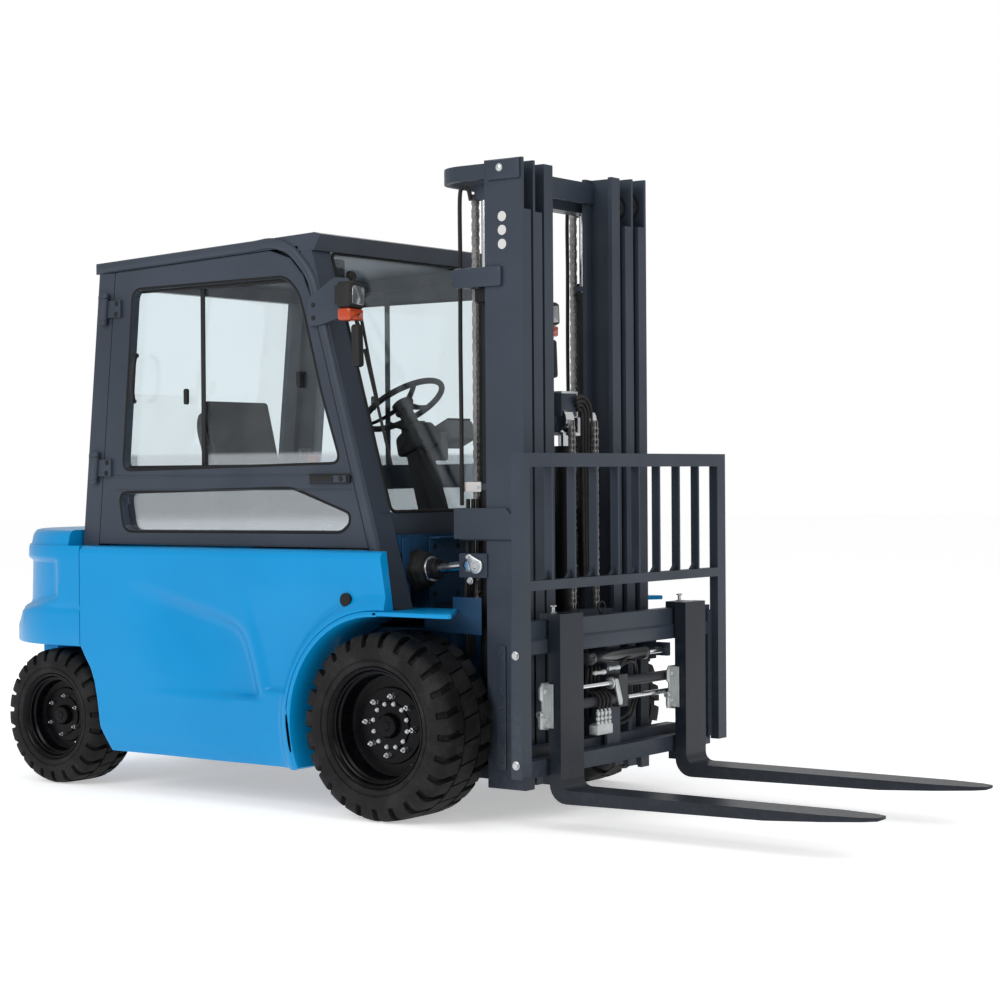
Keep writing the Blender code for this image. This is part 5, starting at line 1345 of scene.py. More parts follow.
@dataclass
class Seat:
    """The driver's seat: swelled cushion and backrest, side bolsters, armrest and levers."""

    shop: Workshop
    base_z: float = 1.08
    rear_x: float = -1.13

    def pad(self, along: Sequence[float], across: float, thick: float, bolster: float) -> Surface:
        """A pad as a closed grid over (u, v): thick in the middle, with two raised side bolsters.

        The top at (u, v) is thick times (1 - |u|^6)(1 - |v|^6) to the power 0.28, plus the bolster times a
        bell at |v| = 0.8. The underside is flat.

        Args:
            along: the pad's start and end along its first axis.
            across: half its width.
            thick: its thickness.
            bolster: the height of the bolsters.

        Returns:
            The pad, lying with its underside at zero.
        """
        u, v = np.meshgrid(np.linspace(-1, 1, 41), np.linspace(-1, 1, 41), indexing="ij")
        crown = ((1 - np.abs(u) ** 6) * (1 - np.abs(v) ** 6)).clip(0) ** 0.28
        bell = np.exp(-(((np.abs(v) - 0.8) / 0.16) ** 2)) * crown
        top = thick * crown + bolster * bell
        pull = 1 - 0.03 * (1 - crown)
        x = (along[0] + along[1]) / 2 + u * (along[1] - along[0]) / 2 * pull
        y = v * across * pull
        upper = np.stack([x, y, top], axis=-1)
        lower = np.stack([x, y, np.zeros_like(top)], axis=-1)
        return grid(np.concatenate([upper, lower[:, ::-1]], axis=1))

    def upholstered(self, name: str, shape: Surface, node: str) -> None:
        piece = self.shop.piece(name, shape, "seat_cloth", "chassis", (node,), 70)
        mesh = swelled(name + "_swelled", piece, 0.008, 3.0, 0.008)
        old = piece.data
        mesh.materials.clear()
        mesh.materials.append(self.shop.finishes["seat_cloth"])
        mesh.shade_smooth()
        piece.data = mesh
        bpy.data.meshes.remove(old)
        soft = piece.modifiers.new("soft", "SUBSURF")
        soft.levels = soft.render_levels = 1

    def build(self) -> None:
        """Makes the seat and what stands beside it."""
        cushion = self.pad((self.rear_x + 0.012, -0.655), 0.228, 0.072, 0.016).moved(z=self.base_z + 0.014)
        self.upholstered("seat_squab", cushion, "seat_cushion")
        back = self.pad((0.01, 0.52), 0.215, 0.066, 0.02).turned(-90 - 14.5, "Y").moved(-1.232, 0, 1.085)
        self.upholstered("seat_backrest", back, "seat_back")
        self.shop.dress("plastic_black", "seat_base")
        seams = []
        for y in (-0.135, 0.135):
            path = np.array([(x, y, self.base_z + 0.094) for x in np.linspace(-1.09, -0.7, 14)])
            seams.append(tube(path, 0.003, 6))
        self.shop.piece("seat_piping", gather(seams), "plastic_black")
        shell = slab([(-1.242, 1.1), (-1.215, 1.1), (-1.345, 1.615), (-1.385, 1.61), (-1.372, 1.52)], -0.2, 0.2,
            "xz", 0.02, 0.012)
        self.shop.piece("seat_shell", shell, "plastic_black")
        rest = slab([(-1.04, 1.3), (-0.74, 1.29), (-0.7, 1.318), (-0.74, 1.345), (-1.04, 1.345)], -0.355,
            -0.285, "xz", 0.014, 0.016)
        console = slab([(-0.88, 0.9725), (-0.7, 0.9725), (-0.68, 1.3), (-0.86, 1.302)], -0.35, -0.29, "xz",
            0.012, 0.02)
        self.shop.piece("armrest", rest + console, "plastic_black")
        levers = []
        for index in range(4):
            foot = np.array([-0.705, -0.345 + index * 0.018, 1.318])
            levers.append(tube(np.array([foot, foot + (0.012, 0, 0.035), foot + (0.02, 0, 0.06)]), 0.0035, 8,
                (0, 1, 0)))
            levers.append(lathe([(0, 0.055), (0.007, 0.057), (0.0085, 0.068), (0.007, 0.082), (0, 0.084)],
                tuple(foot + (0.02, 0, 0)), "z", 14))
        self.shop.piece("fingertip_levers", gather(levers), "plastic_grey")
        switch = slab([(-0.655, 1.336), (-0.61, 1.336), (-0.6, 1.372), (-0.65, 1.38)], -0.345, -0.318, "xz",
            0.006, 0.01)
        post = block((-0.66, -0.64), (-0.345, -0.325), (1.3, 1.34), 0.004)
        self.shop.piece("direction_switch", switch, "signal_orange")
        self.shop.piece("direction_post", post, "plastic_black")
        belt = slab([(-1.095, 1.165), (-1.055, 1.165), (-1.05, 1.225), (-1.09, 1.225)], 0.24, 0.262, "xz",
            0.004, 0.006)
        self.shop.piece("belt_buckle", belt, "signal_red")


@dataclass
class Controls:
    """The steering wheel with its column trim, display and pedals."""

    shop: Workshop
    centre: tuple[float, float, float] = (-0.43, 0.0, 1.578)
    tilt: float = -33.0
    ring_r: float = 0.175

    def placed(self, surface: Surface) -> Surface:
        """A surface made about the wheel's own axis, tilted and put on the column."""
        return surface.turned(self.tilt, "Y").moved(*self.centre)

    def build(self) -> None:
        """Makes the wheel, the display, the stalk and the pedals."""
        shop = self.shop
        ring = sweep(np.pad(circle(72, self.ring_r), ((0, 0), (0, 1))), circle(12, 0.0125), closed=True)
        hub = lathe([(0, -0.029), (0.03, -0.029), (0.034, -0.02), (0.046, 0.0), (0.046, 0.01), (0.036, 0.016),
            (0, 0.018)], (0, 0, 0), "z", 32)
        spoke = np.array([(0.03, 0, -0.004), (0.08, 0, -0.009), (0.13, 0, -0.007), (self.ring_r, 0, 0)])
        wide = np.array([0.022, 0.016, 0.014, 0.013])
        arm = sweep(smooth_path(spoke, 4), np.interp(np.linspace(0, 3, 13), range(4),
            wide)[:, None, None] * circle(12, 1.0, 0.38))
        knob = lathe([(0, 0.012), (0.01, 0.014), (0.01, 0.026), (0.019, 0.034), (0.021, 0.044), (0.016, 0.054),
            (0, 0.057)], (self.ring_r * math.cos(2.3), self.ring_r * math.sin(2.3), 0), "z", 24)
        wheel = ring + hub + knob + gather(arm.turned(a, "Z") for a in (90, 210, 330))
        shop.piece("steering_ring", self.placed(wheel), "plastic_black", "chassis", ("steering_wheel",))
        shop.dress("plastic_black", "steering_column")
        pod = slab([(-0.33, 1.395), (-0.235, 1.44), (-0.262, 1.52), (-0.345, 1.48)], 0.075, 0.245, "xz", 0.01,
            0.016)
        screen = slab([(-0.3485, 1.484), (-0.2655, 1.524), (-0.2615, 1.518), (-0.3445, 1.478)], 0.085, 0.235,
            "xz", 0.001, 0.002)
        neck = slab([(-0.32, 1.35), (-0.262, 1.35), (-0.262, 1.47), (-0.312, 1.45)], 0.035, 0.085, "xz", 0.008,
            0.01)
        shop.piece("display_pod", pod + neck, "plastic_grey")
        shop.piece("display_screen", screen, "gasket")
        cowl = slab([(-0.405, 1.36), (-0.25, 1.42), (-0.262, 1.46), (-0.3, 1.51), (-0.345, 1.5), (-0.42, 1.44)],
                    -0.075, 0.035, "xz", 0.016, 0.02)
        stalk = tube(smooth_path([(-0.35, -0.07, 1.475), (-0.355, -0.12, 1.485), (-0.365, -0.175, 1.5)], 5),
                     np.linspace(0.006, 0.009, 11), 10, (1, 0, 0))
        shop.piece("column_cowl", cowl + stalk, "plastic_black")
        pads = []
        accelerator = [(-0.275, 0.8), (-0.185, 0.9), (-0.177, 0.893), (-0.267, 0.793)]
        pads.append(slab(accelerator, -0.219, -0.151, "xz", 0.003, 0.003))
        pads.append(tube(np.array([(-0.19, -0.185, 0.885), (-0.15, -0.185, 0.88), (-0.118, -0.185, 0.85)]),
            0.007, 8, (0, 1, 0)))
        brake = slab([(-0.25, 0.85), (-0.2, 0.925), (-0.192, 0.92), (-0.242, 0.845)], 0.1, 0.17, "xz", 0.003, 0.003)
        pads += [brake, tube(np.array([(-0.205, 0.135, 0.905), (-0.16, 0.135, 0.93), (-0.118, 0.135, 0.96)]),
            0.008, 8, (0, 1, 0))]
        shop.piece("pedals", gather(pads), "plastic_black")
        mat = block((-0.605, -0.27), (-0.27, 0.27), (0.7602, 0.765), 0.002)
        ribs = gather(block((x, x + 0.006), (-0.25, 0.25), (0.7645, 0.768), 0.001)
            for x in np.arange(-0.59, -0.29, 0.022))
        shop.piece("floor_mat", mat + ribs, "gasket")


# ------ mast
def prism(outline: Points2 | Array, half: float) -> Surface:
    """An XZ outline carried straight across, from -half to half."""
    return grid(np.stack([on_side(outline, -half), on_side(outline, half)]))


def link_plate(pitch: float, wide: float, thick: float) -> Surface:
    """One chain plate in the XZ plane: a waisted stadium of a few faces."""
    h, r, w = pitch / 2, wide / 2, wide * 0.36
    outline = [(-r * 0.8, -h), (-r * 0.48, -h - r * 0.8), (r * 0.48, -h - r * 0.8), (r * 0.8, -h), (w, 0),
        (r * 0.8, h), (r * 0.48, h + r * 0.8), (-r * 0.48, h + r * 0.8), (-r * 0.8, h), (-w, 0)]
    return prism(outline, thick / 2)


def chain_run(x: float, y: float, low: float, high: float, pitch: float, wide: float, across: float) -> Surface:
    """An upright chain: pairs of plates, inner and outer in turn, with a pin in every joint.

    Args:
        x: the chain's place along the truck.
        y: its place across the truck.
        low: the height of its lower end.
        high: the height of its upper end.
        pitch: about the distance between pins.
        wide: the width of a plate.
        across: the length of a pin.

    Returns:
        The chain.
    """
    count = max(2, round((high - low) / pitch))
    step = (high - low) / count
    parts = []
    for index in range(count):
        gap = across * (0.36 if index % 2 else 0.26)
        z = low + step * (index + 0.5)
        parts += [link_plate(step, wide, across * 0.1).moved(x, y + side * gap, z) for side in (-1, 1)]
    pin = prism(circle(8, wide * 0.26), across / 2)
    parts += [pin.moved(x, y, low + step * index) for index in range(1, count)]
    return gather(parts)


@dataclass
class Mast:
    """What is fitted to the mast: chains, sheaves, hoses, clamps, rollers, pins and plates."""

    shop: Workshop
    half: float = 0.427
    front_x: float = 0.476
    depth: float = 0.172
    step_y: float = 0.083
    step_x: float = 0.008
    top: float = 2.463
    lift: tuple[float, float] = (0.245, 0.33)
    tilt_pin: tuple[float, float] = (0.222, 0.95)
    tilt_rear: tuple[float, float] = (-0.48, 0.885)
    tilt_y: float = 0.4

    def outer_fittings(self) -> tuple[Surface, Surface, Surface]:
        """Right half of what rides on the outer stage.

        Returns:
            Charcoal pieces, bright pieces, and blank label discs.
        """
        lx, ly = self.lift
        strap = slab(oblong(lx - 0.036, lx + 0.062, -ly - 0.048, -ly + 0.04), 2.024, 2.044, "xy", 0.004, 0.02)
        web = block((lx + 0.02, 0.33), (-ly - 0.094, -ly - 0.03), (2.026, 2.042), 0.004)
        anchor = block((0.166, 0.214), (-ly - 0.046, -ly - 0.022), (2.01, 2.06), 0.004)
        strip = slab(oblong(0.352, 0.392, 0.19, 0.655), -0.4345, -0.4265, "xz", 0.002, 0.006)
        holes = gather(bolt((0.372, -0.4343, z), "-y", 0.007, 0.004) for z in np.linspace(0.215, 0.63, 7))
        bead_path = np.stack([np.linspace(0.18, 0.43, 30), np.full(30, -0.4295),
            1.0485 + 0.001 * np.sin(np.arange(30) * 2.1)], axis=-1)
        bead = tube(bead_path, 0.004, 8)
        pin_x, pin_z = self.tilt_pin[0] + 0.04, self.tilt_pin[1]
        around = arc((pin_x, pin_z), 0.031, -125, 35, 10) + arc((pin_x - 0.03, pin_z + 0.03), 0.014, 35, 235, 8)
        lock = slab(around, -0.444, -0.435, "xz", 0.003)
        head = lathe([(0, -0.45), (0.01, -0.45), (0.013, -0.447), (0.02, -0.447), (0.021, -0.443), (0, -0.443)],
            (pin_x, 0, pin_z), "y", 28)
        lock_bolt = bolt((pin_x - 0.032, -0.4438, pin_z + 0.032), "-y", 0.0085,
            0.008) + bolt((0.232, -0.435, 0.893), "-y", 0.011, 0.01)
        clamp = slab(oblong(0.165, 0.386, 1.992, 2.066), -0.443, -0.4268, "xz", 0.004, 0.01)
        clamp += block((0.165, 0.2), (-0.442, -0.352), (1.995, 2.062), 0.004)
        hoop_end = slab(oblong(0.322, 0.47, 2.386, 2.459), -0.439, -0.4268, "xz", 0.003, 0.006)
        hoop_bolt = bolt((0.382, -0.4388, 2.43), "-y", 0.012, 0.006)
        discs = gather(lathe([(0, -0.4283), (0.0185, -0.4283), (0.019, -0.4278), (0.019, -0.4265),
            (0, -0.4265)], (0.385, 0, z), "y", 28) for z in (2.25, 2.199, 2.147))
        plate = slab(oblong(0.146, 0.238, 1.226, 1.264), -0.3715, -0.3655, "xz", 0.0015, 0.004)
        tabs = block((0.225, 0.262), (-0.366, -0.352), (1.232, 1.258), 0.002)
        screws = gather(bolt((x, -0.3713, 1.245), "-y", 0.006, 0.004) for x in (0.16, 0.224))
        charcoal = strap + web + anchor + strip + bead + clamp + hoop_end + holes + tabs
        return charcoal, lock + head + lock_bolt + hoop_bolt + screws, discs + plate

    def rollers(self, stage: int) -> Surface:
        """The big rollers at the top of one stage's channels, both sides, with their pin heads."""
        outer = self.half - self.step_y * stage
        x = self.front_x - self.depth / 2
        radius = self.depth / 2 - 0.018 - self.step_x * stage - 0.004
        profile = [(0, -outer + 0.016), (0.022, -outer + 0.016), (0.024, -outer + 0.0145),
            (radius - 0.004, -outer + 0.0145), (radius, -outer + 0.018), (radius, -outer + 0.046),
            (radius - 0.004, -outer + 0.05), (0.026, -outer + 0.05), (0.024, -outer + 0.053),
            (0, -outer + 0.053)]
        return lathe(profile, (x, 0, self.top - 0.105 - 0.012 * stage), "y", 40)

    def build(self) -> None:
        """Dresses the stages and fits their pieces."""
        shop = self.shop
        shop.dress("mast_charcoal", "outer_mast", "middle_mast", "inner_mast")
        shop.dress("chassis_black", "right_lift_cylinder", "left_lift_cylinder", "free_lift_cylinder")
        shop.dress("chrome_rod", "right_lift_rod", "left_lift_rod", "free_lift_head")
        charcoal, bright, labels = self.outer_fittings()
        for name, side in SIDES.items():
            shop.piece(name + "_mast_fittings", charcoal.sided(side), "mast_charcoal", "mast")
            shop.piece(name + "_tilt_lock", bright.sided(side), "zinc_plate", "mast")
            shop.piece(name + "_mast_discs", labels.sided(side), "white_plate", "mast")
            chain = chain_run(0.1905, -self.lift[1], 0.72, 2.345, 0.0254, 0.024, 0.034)
            shop.piece(name + "_lift_chain", chain.sided(side), "chain_steel", "middle_stage")
            guard = tube(smooth_path([(0.205, -self.lift[1], 2.33), (0.213, -self.lift[1], 2.372),
                (0.245, -self.lift[1], 2.391), (0.277, -self.lift[1], 2.372), (0.285, -self.lift[1], 2.34)], 5),
                0.01, 10, (0, 1, 0))
            shop.piece(name + "_chain_sheave", guard.sided(side), "chassis_black", "middle_stage")
            run = chain_run(0.4555, -0.08, 0.772, 1.49, 0.0215, 0.022, 0.03)
            piece = shop.piece(name + "_front_chain", run.sided(side), "chain_steel", "free_lift_stage",
                (name + "_carriage_chain",))
            0.4555 + shop.axle_x
            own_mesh(piece)
        self.tilt_details()
        self.hoses()

    def tilt_details(self) -> None:
        """Ring, gland and rucked boot of the tilt cylinders.

        The boot bulges by the root of a sine along it, and its folds are waves round and along it.
        """
        shop = self.shop
        rear = np.array([self.tilt_rear[0], -self.tilt_y, self.tilt_rear[1]])
        front = np.array([self.tilt_pin[0], -self.tilt_y, self.tilt_pin[1]])
        along = (front - rear) / np.linalg.norm(front - rear)
        ring = straight(rear + along * 0.5, rear + along * 0.512, 0.049, 40, 0.003)
        gland = straight(rear + along * 0.512, rear + along * 0.545, 0.04, 32, 0.004)
        place = np.linspace(0.285, 0.5, 34)
        swell = np.sin(np.linspace(0, math.pi, 34)) ** 0.5
        radius = 0.047 + 0.036 * swell + 0.0035 * swell * np.sin(np.arange(34) * 1.9)
        boot = tube(rear + place[:, None] * along, radius, 40)
        turn = np.arctan2(boot.points[:, 2] - 0.915, boot.points[:, 1] + 0.4)
        ruck = 1 + 0.035 * np.sin(5 * turn + 40 * boot.points[:, 0]) + 0.02 * np.sin(9 * turn - 25
            * boot.points[:, 0])
        centre = rear + ((boot.points - rear) @ along)[:, None] * along
        boot = Surface(centre + (boot.points - centre) * ruck[:, None], boot.faces)
        for name, side in SIDES.items():
            shop.dress("chassis_black", name + "_tilt_cylinder")
            shop.dress("chrome_rod", name + "_tilt_rod")
            shop.piece(name + "_tilt_ring", ring.sided(side), "bright_steel", name + "_tilt_barrel")
            shop.piece(name + "_tilt_gland", gland.sided(side), "chassis_black", name + "_tilt_barrel")
            shop.piece(name + "_tilt_boot", boot.sided(side), "gasket", name + "_tilt_barrel", sharp=70)

    def hoses(self) -> None:
        """The free-lift hoses and their sheave box, the side hoses, and the rollers of each stage."""
        shop = self.shop
        for stage, body in ((0, "mast"), (1, "middle_stage")):
            pair = self.rollers(stage)
            shop.piece(body + "_top_rollers", pair.sided(-1) + pair.sided(1), "chassis_black", body)
        body = block((0.352, 0.43), (-0.11, -0.006), (1.512, 1.606), 0.004)
        rim = block((0.35, 0.433), (-0.113, -0.003), (1.6, 1.609), 0.002) + block((0.424, 0.433),
            (-0.009, -0.003), (1.512, 1.604), 0.002)
        shop.piece("hose_sheave_box", body, "mast_charcoal", "free_lift_stage")
        shop.piece("hose_box_rim", rim, "zinc_plate", "free_lift_stage")
        lines = []
        for index in range(4):
            r, x = 0.02 + 0.0165 * index, 0.436 + 0.003 * index
            bend = [(x, r * math.cos(t), 1.52 + r * 1.02 * math.sin(t))
                for t in np.radians((125, 100, 75, 50, 25, 0))]
            knots = [*bend, (x, r, 1.43), (x, 0.004 + r * 0.9, 1.2), (x, 0.01 + r * 0.8, 0.98),
                (x, 0.012 + r * 0.8, 0.86)]
            lines.append(tube(smooth_path(knots, 6), 0.0072, 10, (1, 0, 0)))
        piece = shop.piece("free_lift_hoses", gather(lines), "hose", "free_lift_stage")
        0.44 + shop.axle_x
        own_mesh(piece)
        risers = []
        for x, y in ((0.14, -0.362), (0.156, -0.381)):
            knots = [(x + 0.052, y, 2.33), (x + 0.04, y, 2.372), (x + 0.016, y, 2.378), (x, y, 2.34),
                (x, y, 2.1), (x - 0.002, y, 1.8), (x, y, 1.5), (x, y, 1.175)]
            risers.append(tube(smooth_path(knots, 6), 0.0075, 10, (0, 1, 0)))
        for name, side in SIDES.items():
            shop.piece(name + "_riser_hoses", gather(risers).sided(side), "hose", "mast")
        side_lines = []
        for index in range(3):
            y = -0.388 + 0.018 * index
            knots = [(0.19 + 0.01 * index, y, 1.2), (0.186 + 0.01 * index, y, 0.99), (0.178, y, 0.86),
                (0.174, y + 0.004, 0.74), (0.16, y + 0.03, 0.64), (0.12, y + 0.075, 0.6), (0.07, y + 0.1, 0.6)]
            side_lines.append(tube(smooth_path(knots, 6), 0.008, 10, (0, 1, 0)))
        shop.piece("mast_foot_hoses", gather(side_lines), "hose", "mast")


# ------ load handling
@dataclass
class LoadGear:
    """Carriage, side shifter, fork positioner, backrest and forks: finishes and fitted pieces."""

    shop: Workshop
    fork_y: float = 0.434
    clamp_x: float = 0.608

    def fork_pieces(self) -> tuple[Surface, Surface]:
        """The latch on a fork's hook and the folded steel bracket beside its shank, for the right fork."""
        y = -self.fork_y
        latch = lathe([(0, 0.785), (0.013, 0.785), (0.013, 0.788), (0.0065, 0.789), (0.0065, 0.806),
            (0.0125, 0.808), (0.013, 0.812), (0.01, 0.814), (0, 0.814)], (0.614, y - 0.006, 0), "z", 28)
        outline = [(y - 0.136, 0.372), (y - 0.078, 0.365), (y - 0.078, 0.538), (y - 0.12, 0.538),
            (y - 0.136, 0.52), (y - 0.136, 0.478), (y - 0.122, 0.47), (y - 0.122, 0.44), (y - 0.136, 0.432)]
        plate = slab(outline, 0.6365, 0.645, "yz", 0.003)
        lip = block((0.642, 0.664), (y - 0.084, y - 0.0775), (0.372, 0.532), 0.002)
        back = block((0.6345, 0.641), (y - 0.136, y - 0.13), (0.38, 0.428), 0.002)
        nut = straight((0.647, y - 0.152, 0.426), (0.647, y - 0.128, 0.426), 0.012, 24, 0.003)
        screws = gather(bolt((0.645, y - 0.102, z), "x", 0.009, 0.006, 20) for z in (0.4, 0.505))
        return latch, plate + lip + back + nut + screws

    def shifter_pieces(self) -> tuple[Surface, Surface, Surface]:
        """Black collars and step of the shifter, its zinc fittings and clamps, and the hoses between them."""
        step = slab([(0.6253, 0.643), (0.633, 0.643), (0.633, 0.69), (0.6253, 0.699)], -0.64, 0.64, "xz", 0.002,
            0.002)
        collars = [straight((self.clamp_x, y, z), (self.clamp_x, y + 0.016 * s, z), 0.0235, 28, 0.003)
                   for y, z, s in ((0.462, 0.497, 1), (-0.462, 0.435, -1))]
        valve = slab([(-0.186, 0.312), (-0.08, 0.312), (-0.08, 0.348), (-0.098, 0.354), (-0.168, 0.354),
            (-0.186, 0.348)], 0.598, 0.636, "yz", 0.003, 0.004)
        fittings = [valve]
        for index in range(4):
            y = -0.172 + 0.0255 * index
            profile = [(0, 0.35), (0.0085, 0.35), (0.0085, 0.362), (0.0055, 0.364), (0.0095, 0.368),
                (0.0095, 0.378), (0.0055, 0.381), (0.009, 0.386), (0.009, 0.398), (0.006, 0.401), (0.006, 0.41),
                (0, 0.41)]
            fittings.append(lathe(profile, (0.628, y, 0), "z", 12))
        for start, z in ((-0.2, 0.546), (-0.102, 0.556)):
            profile = [(0, start), (0.006, start), (0.0085, start + 0.008), (0.0085, start + 0.022),
                (0.0055, start + 0.024), (0.0075, start + 0.034), (0.0075, start + 0.052),
                (0.01, start + 0.054), (0.01, start + 0.072), (0, start + 0.074)]
            fittings.append(lathe(profile, (0.63, 0, z), "y", 12))
        for y, z in ((-0.062, 0.497), (-0.03, 0.435)):
            fittings.append(straight((self.clamp_x, y, z), (self.clamp_x, y + 0.026, z), 0.0235, 28, 0.004))
        link = [(-0.06, 0.515), (-0.038, 0.515), (-0.006, 0.43), (-0.01, 0.412), (-0.03, 0.412), (-0.052, 0.47)]
        fittings.append(slab(link, 0.625, 0.6345, "yz", 0.003, 0.006))
        lines = []
        for index in range(4):
            y = -0.172 + 0.0255 * index
            knots = [(0.628, y, 0.408), (0.635, y, 0.422), (0.637, y, 0.437), (0.633, y + 0.002, 0.452),
                (0.618, y + 0.004, 0.466), (0.594, y + 0.006, 0.468), (0.576, y + 0.008, 0.482),
                (0.572, y + 0.012, 0.51), (0.572, y + 0.018, 0.56)]
            lines.append(tube(smooth_path(knots, 6), 0.006, 10, (1.0, 0.3, 0.2)))
        for grow in (0.0, 0.018):
            loop = [(0.63, -0.03, 0.556), (0.632, 0.03, 0.572 + grow), (0.61, 0.11, 0.56 + grow),
                (0.576, 0.165 + grow, 0.5), (0.572, 0.17 + grow, 0.43), (0.574, 0.125 + grow, 0.37 - grow),
                (0.576, 0.055, 0.35 - grow), (0.575, 0.0, 0.372)]
            lines.append(tube(smooth_path(loop, 7), 0.006, 10, (1.0, 0.1, 0.2)))
        return step + gather(collars), gather(fittings), gather(lines)

    def sleeve(self) -> Surface:
        """The side-shift cylinder's barrel with its end caps and its foot."""
        profile = [(0, -0.214), (0.022, -0.214), (0.026, -0.21), (0.0285, -0.2), (0.0285, -0.186),
            (0.0265, -0.183), (0.0265, 0.156), (0.0285, 0.159), (0.0285, 0.184), (0.026, 0.19), (0.014, 0.192),
            (0, 0.192)]
        foot = block((0.5875, 0.612), (-0.04, 0.04), (0.574, 0.624), 0.003)
        return lathe(profile, (0.6075, 0, 0.6), "y", 40) + foot

    def build(self) -> None:
        """Dresses the gear and fits its pieces."""
        shop = self.shop
        shop.dress("mast_charcoal", "carriage", "side_shifter", "load_backrest")
        shop.dress("positioner_grey", "positioner_cylinders")
        shop.dress("chrome_rod", "side_shift_rod", "right_positioner_rod", "left_positioner_rod")
        shop.dress("fork_steel", "right_fork", "left_fork")
        latch, clamp = self.fork_pieces()
        for name, side in SIDES.items():
            shop.piece(name + "_fork_latch", latch.sided(side), "bright_steel", name + "_fork_arm")
        shop.piece("right_fork_clamp", clamp, "zinc_plate", "right_fork_arm")
        shop.piece("left_fork_clamp", clamp.moved(y=2 * self.fork_y), "zinc_plate", "left_fork_arm")
        shop.piece("side_shift_barrel", self.sleeve(), "barrel_black", "shifter", ("side_shift_cylinder",))
        steps, fittings, lines = self.shifter_pieces()
        shop.piece("shifter_step", steps, "mast_charcoal", "shifter")
        shop.piece("positioner_fittings", fittings, "zinc_plate", "shifter")
        shop.piece("positioner_hoses", lines, "hose", "shifter")
        bolts = gather(bolt((0.641, -0.7165, z), "-y", 0.013, 0.009) for z in (0.648, 0.258))
        ends = bolts.sided(-1) + bolts.sided(1)
        shop.piece("backrest_bolts", ends, "bright_steel", "shifter")
        feet = gather(slab([(y - 0.0055, 0.9105), (y - 0.044, 0.9105), (y - 0.0055, 0.945)], 0.64, 0.646, "yz",
            0.001) for y in 0.146 * (np.arange(8) - 3.5))
        shop.piece("backrest_gussets", feet, "mast_charcoal", "shifter")
        eye_path = np.pad(circle(28, 0.021), ((0, 0), (1, 0))) + (0.6, -0.098, 0.788)
        eye = sweep(eye_path, circle(28, 0.0036)[::3], (1, 0, 0), closed=True)
        collar = lathe([(0, 0.7598), (0.012, 0.7598), (0.012, 0.764), (0.006, 0.768), (0, 0.768)],
            (0.6, -0.098, 0), "z", 24)
        shop.piece("lifting_eye", eye + collar, "chassis_black", "shifter")


# ------ chassis
@dataclass
class Chassis:
    """Finishes of the frame, and the cowl, its bolts and the arch walls."""

    shop: Workshop

    def build(self) -> None:
        """Dresses the frame's nodes and fits the cowl and the walls."""
        shop = self.shop
        shop.dress("frame_navy", "chassis_frame", "cab_floor")
        shop.dress("chassis_black", "drive_axle", "steer_axle", "right_knuckle", "left_knuckle", "battery_pack")
        cowl = slab(oblong(-0.335, 0.335, 0.795, 1.052), -0.044, -0.038, "yz", 0.002, 0.012)
        wings = slab(oblong(0.455, 0.5, 0.8, 1.052), -0.044, -0.038, "yz", 0.002, 0.004)
        fold = block((-0.0445, 0.01), (-0.335, 0.335), (1.046, 1.0535), 0.003)
        shop.piece("front_cowl", cowl + wings + wings.sided(1) + fold, "frame_navy")
        marks = gather(bolt((-0.0382, y, z), "x", 0.009, 0.006) for y in (-0.3, -0.15, 0.15, 0.3)
            for z in (0.83, 1.015))
        shop.piece("cowl_bolts", marks, "chassis_black")
        wall = slab([(0.02, 0.772), (0.02, 0.7), (0.284, 0.69), (0.284, 0.83), (0.15, 0.83), (0.15, 0.772)],
            -0.4365, -0.4325, "xz", 0.001)
        for name, side in SIDES.items():
            shop.piece(name + "_arch_wall", wall.sided(side), "frame_navy")


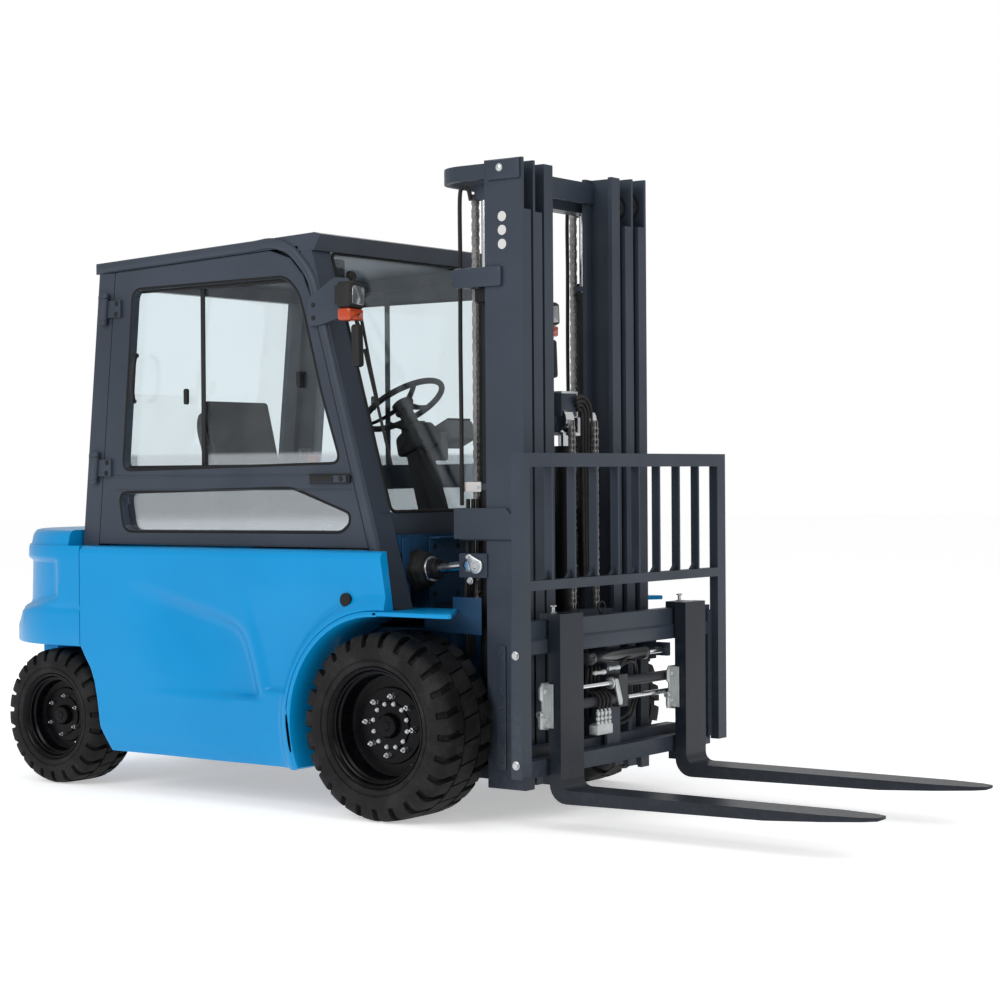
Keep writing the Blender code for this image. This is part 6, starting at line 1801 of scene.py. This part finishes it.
# ------ studio
@dataclass
class Studio:
    """Floor, lights and camera."""

    shop: Workshop
    eye: tuple[float, float, float] = (5.2005, -7.0571, 1.2891)
    azimuth: float = 36.0914
    pitch: float = -0.6465
    roll: float = -0.3994
    focal: float = 2205.447
    ambient: float = 0.6
    floor_glow: float = 0.42
    sensor: float = 36.0
    image: float = 1000.0

    def camera(self) -> None:
        """Turns the camera: forwards F, sideways R = cos roll, up U, columns R, U, -F."""
        a, p, r = (math.radians(angle) for angle in (self.azimuth, self.pitch, self.roll))
        ahead = Vector((-math.sin(a) * math.cos(p), math.cos(a) * math.cos(p), math.sin(p)))
        level = Vector((math.cos(a), math.sin(a), 0.0))
        upward = level.cross(ahead)
        across = math.cos(r) * level + math.sin(r) * upward
        above = -math.sin(r) * level + math.cos(r) * upward
        data = bpy.data.cameras.new("camera")
        data.sensor_width = self.sensor
        data.lens = self.focal * self.sensor / self.image
        data.clip_end = 200.0
        eye = bpy.data.objects.new("camera", data)
        place = Matrix((across, above, -ahead)).transposed().to_4x4()
        place.translation = Vector(self.eye) + Vector((self.shop.axle_x, 0, 0))
        eye.matrix_world = place
        bpy.context.scene.collection.objects.link(eye)
        bpy.context.scene.camera = eye

    def light(self, name: str, at: Sequence[float], aim: Sequence[float], size: float, power: float) -> None:
        """One square area light, turned towards a point."""
        data = bpy.data.lights.new(name, "AREA")
        data.shape, data.size, data.energy = "SQUARE", size, power
        lamp = bpy.data.objects.new(name, data)
        lamp.location = at
        lamp.rotation_euler = (Vector(aim) - Vector(at)).to_track_quat("-Z", "Y").to_euler()
        bpy.context.scene.collection.objects.link(lamp)

    def build(self) -> None:
        """Lays the floor, sets the lights and the white surroundings, and places the camera."""
        shader = Shader("studio_floor")
        shade = shader.mixed(shader.noise(0.6).band(0.3, 0.7), (0.93, 0.93, 0.93), (0.95, 0.95, 0.95))
        floor_finish = shader.principled({"Base Color": shade, "Roughness": 0.85,
            "Emission Color": (1.0, 1.0, 1.0, 1.0), "Emission Strength": self.floor_glow})
        turn = np.linspace(0, TAU, 96, endpoint=False)
        radius = np.array([0.01, 30.0, 60.0])[:, None]
        rings = np.stack([radius * np.cos(turn), radius * np.sin(turn), np.full((3, 96), -0.0005)], axis=-1)
        surface = grid(rings, capped=False)
        mesh = bpy.data.meshes.new("studio_floor")
        mesh.from_pydata(surface.points.tolist(), [], surface.faces + [list(range(96))])
        mesh.materials.append(floor_finish)
        floor = bpy.data.objects.new("studio_floor", mesh)
        bpy.context.scene.collection.objects.link(floor)
        world = bpy.data.worlds.new("studio")
        world.use_nodes = True
        background = world.node_tree.nodes["Background"]
        background.inputs[0].default_value = (1.0, 1.0, 1.0, 1.0)
        background.inputs[1].default_value = self.ambient
        tree = world.node_tree
        seen = tree.nodes.new("ShaderNodeBackground")
        path, mixer = tree.nodes.new("ShaderNodeLightPath"), tree.nodes.new("ShaderNodeMixShader")
        seen.inputs[0].default_value = (1.0, 1.0, 1.0, 1.0)
        tree.links.new(path.outputs["Is Camera Ray"], mixer.inputs[0])
        tree.links.new(background.outputs[0], mixer.inputs[1])
        tree.links.new(seen.outputs[0], mixer.inputs[2])
        tree.links.new(mixer.outputs[0], tree.nodes["World Output"].inputs[0])
        bpy.context.scene.world = world
        self.light("key", (-0.5, -9.5, 6.0), (0, 0, 1.0), 5.0, 420)
        self.light("front", (9.0, -2.0, 7.0), (0.4, 0, 1.4), 4.0, 190)
        self.light("rear", (-6.0, 5.0, 6.0), (-0.5, 0, 1.0), 4.0, 90)
        self.camera()


def main() -> None:
    """Builds every part of the truck in order, then the studio."""
    bpy.context.scene.view_settings.view_transform = "Standard"
    shop = Workshop()
    parts = [Wheels(shop), SidePanel(shop), Counterweight(shop), Chassis(shop), CabShell(shop),
        *[Door(shop, name, side) for name, side in SIDES.items()], Seat(shop), Controls(shop), Mast(shop),
        LoadGear(shop)]
    for part in parts:
        LOG.info("building %s", type(part).__name__)
        part.build()
    Studio(shop).build()
    LOG.info("%d pieces fitted", shop.count)


if __name__ == "__main__":
    main()
